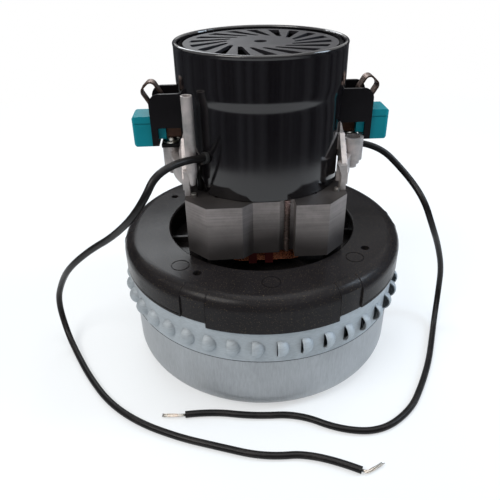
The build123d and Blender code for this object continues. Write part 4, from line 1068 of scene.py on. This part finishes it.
def coil_spring(side, finish, coils):
    """A brush spring, coiled from one end of its part's box to the other."""
    low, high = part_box(f"brush_spring_{side}")
    radius = (high[2] - low[2]) / 2 - SPRING_WIRE
    middle = (high[2] + low[2]) / 2
    start, end = low[0] + SPRING_WIRE, high[0] - SPRING_WIRE
    steps = COIL_STEPS * coils
    helix = []
    for i in range(steps + 1):
        turn = 2 * math.pi * i / COIL_STEPS
        along = start + (end - start) * i / steps
        helix.append(Vector((along, radius * math.cos(turn), middle + radius * math.sin(turn))))
    work = bmesh.new()
    add_tube(work, helix, SPRING_WIRE, sides=7)
    spring = new_piece(f"coiled_spring_{side}", mesh_of(work), finish, STATIC)
    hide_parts(f"brush_spring_{side}")
    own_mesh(spring)


# Leads, their routes in millimetres, with the way that the bare end points and the real length

Lead = namedtuple("Lead", "route aim length")

LEADS = {
    "left": Lead((
        (-27.466, -28.746, 116.299), (-44.4, -43.5, 120.8), (-54.1, -52.4, 103.85), (-70.5, -35.6, 82.7),
        (-85.1, -26.2, 70.5), (-99.7, -18.1, 55.9), (-109.6, -7.2, 39.9), (-116.7, -1.3, 22.9),
        (-112.9, -9.0, 5.6), (-103.9, -25.0, 1.75), (-93.6, -42.8, 1.75), (-81.0, -60.3, 1.75),
        (-65.2, -73.6, 1.75), (-45.7, -83.5, 1.75), (-27.5, -89.9, 1.75), (-6.3, -97.1, 1.75),
        (16.6, -96.6, 1.75), (35.0, -106.6, 1.75),
    ), aim=(0.888, 0.460, 0.0), length=0.3614),
    "right": Lead((
        (45.55, 11.0, 106.49), (60.8, 11.0, 106.4), (78.8, 5.6, 89.0), (84.4, -7.8, 80.7),
        (89.9, -10.7, 66.9), (98.2, -4.4, 51.1), (105.1, -0.1, 32.9), (106.9, 0.9, 16.3),
        (102.5, -10.1, 2.75), (94.8, -27.3, 1.75), (87.2, -43.7, 1.75), (77.3, -60.7, 1.75),
        (66.6, -76.0, 1.75), (49.2, -87.3, 1.75), (30.3, -85.0, 1.75), (11.9, -74.3, 1.75),
        (-9.5, -74.0, 1.75), (-30.1, -69.7, 1.75), (-42.7, -70.6, 1.75),
    ), aim=(-0.998, 0.054, 0.0), length=0.3318),
}
# Strands of a bare end: one in the middle, four round it and the rest outside
INNER_STRANDS = 5
INNER_RING, OUTER_RING = 0.30, 0.62
# Length of the bare strands, and how much shorter or longer each may be, in millimetres
BARE_LENGTH, LENGTH_WANDER = 9.6, (-1.2, 0.8)
BARE_STEPS = 8
# How far the strands go straight out of the insulation, how soon, and how deep in it they start
STRAIGHT_OUT, STRAIGHT_RATE, STRAND_TUCK = 2.4 * MM, 6.0, 0.4 * MM
# The share of a strand after which it turns to the way that the bare end points
TURN_SHARE = 0.12
STRAND_TWIST = 1.6
FRAY = 0.10
# The bundle's height over its width
BUNDLE_FLATNESS = 0.8


def lay_lead(side, points, finish, thickness):
    """A free lead along its route, as one smooth line."""
    line = bpy.data.curves.new(f"free_lead_{side}", "CURVE")
    line.dimensions = "3D"
    spline = line.splines.new("NURBS")
    spline.points.add(len(points) - 1)
    for target, point in zip(spline.points, points):
        target.co = (*point, 1.0)
    spline.order_u = 3
    spline.use_endpoint_u = True
    spline.resolution_u = 16
    line.bevel_depth = thickness / 2
    line.bevel_resolution = 5
    line.use_fill_caps = True
    line.materials.append(finish)
    lead = bpy.data.objects.new(f"free_lead_{side}", line)
    bpy.context.scene.collection.objects.link(lead)
    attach(lead, STATIC)
    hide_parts(f"lead_{side}")
    return lead


def bare_strand(start_turn, ring, reach, end, along, out):
    """One strand, out of the insulation, round to the way that the bare end points, and twisted."""
    across = out.cross(UP)
    points = []
    for i in range(BARE_STEPS + 1):
        share = i / BARE_STEPS
        twist = start_turn + STRAND_TWIST * share
        spread = (ring + FRAY * share) * MM
        leave = min(share * STRAIGHT_RATE, 1.0) * STRAIGHT_OUT
        if i == 0:
            leave -= STRAND_TUCK
        middle = end + along * leave + out * max(0.0, share - TURN_SHARE) * reach
        rise = UP * math.sin(twist) * spread * BUNDLE_FLATNESS
        points.append(middle + across * math.cos(twist) * spread + rise)
    return points


def fray_end(side, points, aim, finish, settings, chance):
    """The bundle of bare strands at the end of a lead."""
    end = points[-1]
    along = (end - points[-2]).normalized()
    count = settings.strand_count
    work = bmesh.new()
    for strand in range(count):
        ring = 0.0 if strand == 0 else INNER_RING if strand < INNER_STRANDS else OUTER_RING
        reach = (BARE_LENGTH + chance.uniform(*LENGTH_WANDER)) * MM
        wire = bare_strand(2 * math.pi * strand / count, ring, reach, end, along, Vector(aim).normalized())
        add_tube(work, wire, settings.strand_diameter / 2, sides=6)
    strands = new_piece(f"bare_end_{side}", mesh_of(work), finish, STATIC)
    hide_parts(f"lead_end_{side}")
    return strands


# Operators

class VACUUM_MOTOR_OT_stage(bpy.types.Operator):
    """Lay the pale floor, light it softly and set the camera"""

    bl_idname = "vacuum_motor.stage"
    bl_label = "Stage"

    def execute(self, context):
        scene = context.scene
        settings = scene.stage_settings
        lay_floor(settings)
        hang_flags(settings)
        light_room(settings, scene)
        for softbox in SOFTBOXES:
            hang_softbox(softbox, scene)
        set_camera(settings, scene)
        scene.view_settings.view_transform = "Standard"
        return {"FINISHED"}


class VACUUM_MOTOR_OT_fan_case(bpy.types.Operator):
    """Finish the fan case: shell, louvre cover, black bracket and the wheels inside"""

    bl_idname = "vacuum_motor.fan_case"
    bl_label = "Fan case"

    def execute(self, context):
        settings = context.scene.case_settings
        shell = drawn_aluminium(
            "shell_sheet", tuple(settings.shell_colour), rough=0.46, streak=2.0, grain=90.0
        )
        cover = drawn_aluminium(
            "cover_sheet", tuple(settings.cover_colour), rough=0.56, streak=60.0, grain=30.0, metal=0.25
        )
        wheel = drawn_aluminium("wheel_sheet", WHEEL_ALUMINIUM, rough=0.34, streak=60.0, grain=40.0)
        ring = satin_paint("ring_black", tuple(settings.ring_colour))
        dress(shell, "lower_case_shell")
        dress(cover, "louvre_cover")
        dress(wheel, "first_stage_impeller", "second_stage_impeller", "stage_diffuser")
        dress(ring, "fan_end_bracket")
        mark_bracket(ring, settings.mark_radius)
        ridge_bracket(ring)
        line_seam(settings.case_radius)
        return {"FINISHED"}


class VACUUM_MOTOR_OT_stator(bpy.types.Operator):
    """Finish the stack, its welds, liners, ties and studs"""

    bl_idname = "vacuum_motor.stator"
    bl_label = "Stator"

    def execute(self, context):
        settings = context.scene.motor_settings
        sheets = laminated("stack_sheets", tuple(settings.sheet_colour), settings.sheet_thickness)
        plating = turned_metal("stud_plating", STUD_PLATING, rough=0.35)
        dress(sheets, "stator_core", "armature_core")
        bead_welds(welded("weld_scale"))
        dress(moulded("fibre_paper", FIBRE_PAPER, rough=0.7, grain=500.0), "slot_liners")
        dress(woven_tape("lacing_tape", tuple(settings.tie_colour)), "coil_ties")
        dress(plating, "stator_studs", "clamp_washer", "shaft_nut")
        return {"FINISHED"}


class VACUUM_MOTOR_OT_field_coils(bpy.types.Operator):
    """Wind the two field coils, turn by turn"""

    bl_idname = "vacuum_motor.field_coils"
    bl_label = "Field coils"

    def execute(self, context):
        settings = context.scene.motor_settings
        copper = enamelled_wire("field_wire", tuple(settings.wire_colour))
        chance = random.Random(7)
        for name in ("front", "back"):
            wind_field_coil(name, copper, settings.wire_thickness, chance)
        return {"FINISHED"}


class VACUUM_MOTOR_OT_armature(bpy.types.Operator):
    """Wind the armature and finish the shaft, commutator and bearings"""

    bl_idname = "vacuum_motor.armature"
    bl_label = "Armature"

    def execute(self, context):
        settings = context.scene.motor_settings
        wind_armature(enamelled_wire("armature_wire", tuple(settings.wire_colour)))
        dress(commutator_copper("bar_copper"), "commutator_bars")
        dress(moulded("hub_resin", HUB_RESIN, rough=0.5), "commutator_hub")
        dress(turned_metal("ground_shaft", GROUND_STEEL, rough=0.25), "shaft", "shaft_spacers")
        polished = turned_metal("bearing_chrome", BEARING_CHROME, rough=0.16, lines=900.0)
        for place in ("lower", "upper"):
            for part in ("outer_ring", "inner_ring", "balls"):
                dress(polished, f"{place}_bearing_{part}")
        return {"FINISHED"}


class VACUUM_MOTOR_OT_end_bracket(bpy.types.Operator):
    """Finish the cast end bracket and make the screws that hold the housings"""

    bl_idname = "vacuum_motor.end_bracket"
    bl_label = "End bracket and screws"

    def execute(self, context):
        settings = context.scene.motor_settings
        dress(cast_metal("bracket_casting", tuple(settings.casting_colour)), "commutator_end_bracket")
        turn_screws(turned_metal("screw_zinc", ZINC, rough=0.3, tint=ZINC_YELLOW))
        return {"FINISHED"}


class VACUUM_MOTOR_OT_brush_gear(bpy.types.Operator):
    """Finish the brush blocks, housings, straps and tubes, and coil the brush springs"""

    bl_idname = "vacuum_motor.brush_gear"
    bl_label = "Brush gear"

    def execute(self, context):
        settings = context.scene.brush_settings
        finishes = {
            "brush_block": moulded(
                "block_teal", tuple(settings.block_colour), rough=0.42, grain=700.0, relief=0.02 * MM,
                edge=0.4 * MM, Specular_IOR_Level=0.14,
            ),
            "brush_housing": moulded(
                "housing_black", tuple(settings.housing_colour), rough=0.34, Specular_IOR_Level=0.12
            ),
            "terminal_strap": turned_metal(
                "strap_metal", tuple(settings.strap_colour), rough=0.36, tint=STRAP_TARNISH
            ),
            "brush_tube": turned_metal("tube_brass", TUBE_BRASS, rough=0.42, tint=TUBE_TARNISH),
            "carbon_brush": pressed_carbon("brush_carbon"),
        }
        steel = turned_metal("spring_steel", SPRING_STEEL, rough=0.3)
        for side, sign in SIDES.items():
            for node, material in finishes.items():
                dress(material, f"{node}_{side}")
            coil_spring(side, steel, settings.spring_coils)
        return {"FINISHED"}


class VACUUM_MOTOR_OT_shroud(bpy.types.Operator):
    """Finish the gloss shroud, the grille and the cooling fan"""

    bl_idname = "vacuum_motor.shroud"
    bl_label = "Shroud and grille"

    def execute(self, context):
        settings = context.scene.shroud_settings
        satin = moulded(
            "grille_satin", tuple(settings.grille_colour), rough=0.40, grain=1500.0, relief=0.02 * MM,
            Specular_IOR_Level=0.1,
        )
        plastic = moulded("fan_plastic", FAN_BLACK, rough=0.5, Specular_IOR_Level=0.1)
        dress(gloss_moulding("shroud_gloss", tuple(settings.shroud_colour)), "shroud")
        dress(satin, "cover_grille")
        dress(plastic, "cooling_fan")
        return {"FINISHED"}


class VACUUM_MOTOR_OT_leads(bpy.types.Operator):
    """Lay the two free leads with their bare ends, and finish their grommets and inner sleeves"""

    bl_idname = "vacuum_motor.leads"
    bl_label = "Leads"

    def execute(self, context):
        settings = context.scene.lead_settings
        rubber = sleeve_rubber("lead_insulation", tuple(settings.lead_colour))
        tin = turned_metal("tinned_strand", TINNED_STRAND, rough=0.32, tint=BARE_COPPER, lines=900.0)
        dress(moulded("grommet_rubber", GROMMET_BLACK, rough=0.55), "lead_grommet_left", "lead_grommet_right")
        dress(rubber, "inner_lead_left", "inner_lead_right")
        chance = random.Random(3)
        for side, (route, aim, length) in LEADS.items():
            points = [Vector(point) * MM for point in route]
            lead = lay_lead(side, points, rubber, settings.lead_diameter)
            strands = fray_end(side, points, aim, tin, settings, chance)
        return {"FINISHED"}


OPERATORS = (
    VACUUM_MOTOR_OT_stage,
    VACUUM_MOTOR_OT_fan_case,
    VACUUM_MOTOR_OT_stator,
    VACUUM_MOTOR_OT_field_coils,
    VACUUM_MOTOR_OT_armature,
    VACUUM_MOTOR_OT_end_bracket,
    VACUUM_MOTOR_OT_brush_gear,
    VACUUM_MOTOR_OT_shroud,
    VACUUM_MOTOR_OT_leads,
)


class VACUUM_MOTOR_PT_pieces(bpy.types.Panel):
    """The motor's settings, and a button for each group of pieces"""

    bl_idname = "VACUUM_MOTOR_PT_pieces"
    bl_label = "Vacuum motor"
    bl_space_type = "VIEW_3D"
    bl_region_type = "UI"
    bl_category = "Vacuum motor"

    def draw(self, context):
        for name, group in SETTINGS.items():
            box = self.layout.box()
            settings = getattr(context.scene, name)
            for field in group.__annotations__:
                box.prop(settings, field)
        for operator in OPERATORS:
            self.layout.operator(operator.bl_idname)


def register():
    for name, group in SETTINGS.items():
        bpy.utils.register_class(group)
        setattr(bpy.types.Scene, name, bpy.props.PointerProperty(type=group))
    for operator in OPERATORS:
        bpy.utils.register_class(operator)
    bpy.utils.register_class(VACUUM_MOTOR_PT_pieces)


def unregister():
    bpy.utils.unregister_class(VACUUM_MOTOR_PT_pieces)
    for operator in reversed(OPERATORS):
        bpy.utils.unregister_class(operator)
    for name, group in SETTINGS.items():
        delattr(bpy.types.Scene, name)
        bpy.utils.unregister_class(group)


def main():
    register()
    bpy.ops.vacuum_motor.stage()
    bpy.ops.vacuum_motor.fan_case()
    bpy.ops.vacuum_motor.stator()
    bpy.ops.vacuum_motor.field_coils()
    bpy.ops.vacuum_motor.armature()
    bpy.ops.vacuum_motor.end_bracket()
    bpy.ops.vacuum_motor.brush_gear()
    bpy.ops.vacuum_motor.shroud()
    bpy.ops.vacuum_motor.leads()
    bpy.context.view_layer.update()


if __name__ == "__main__":
    main()
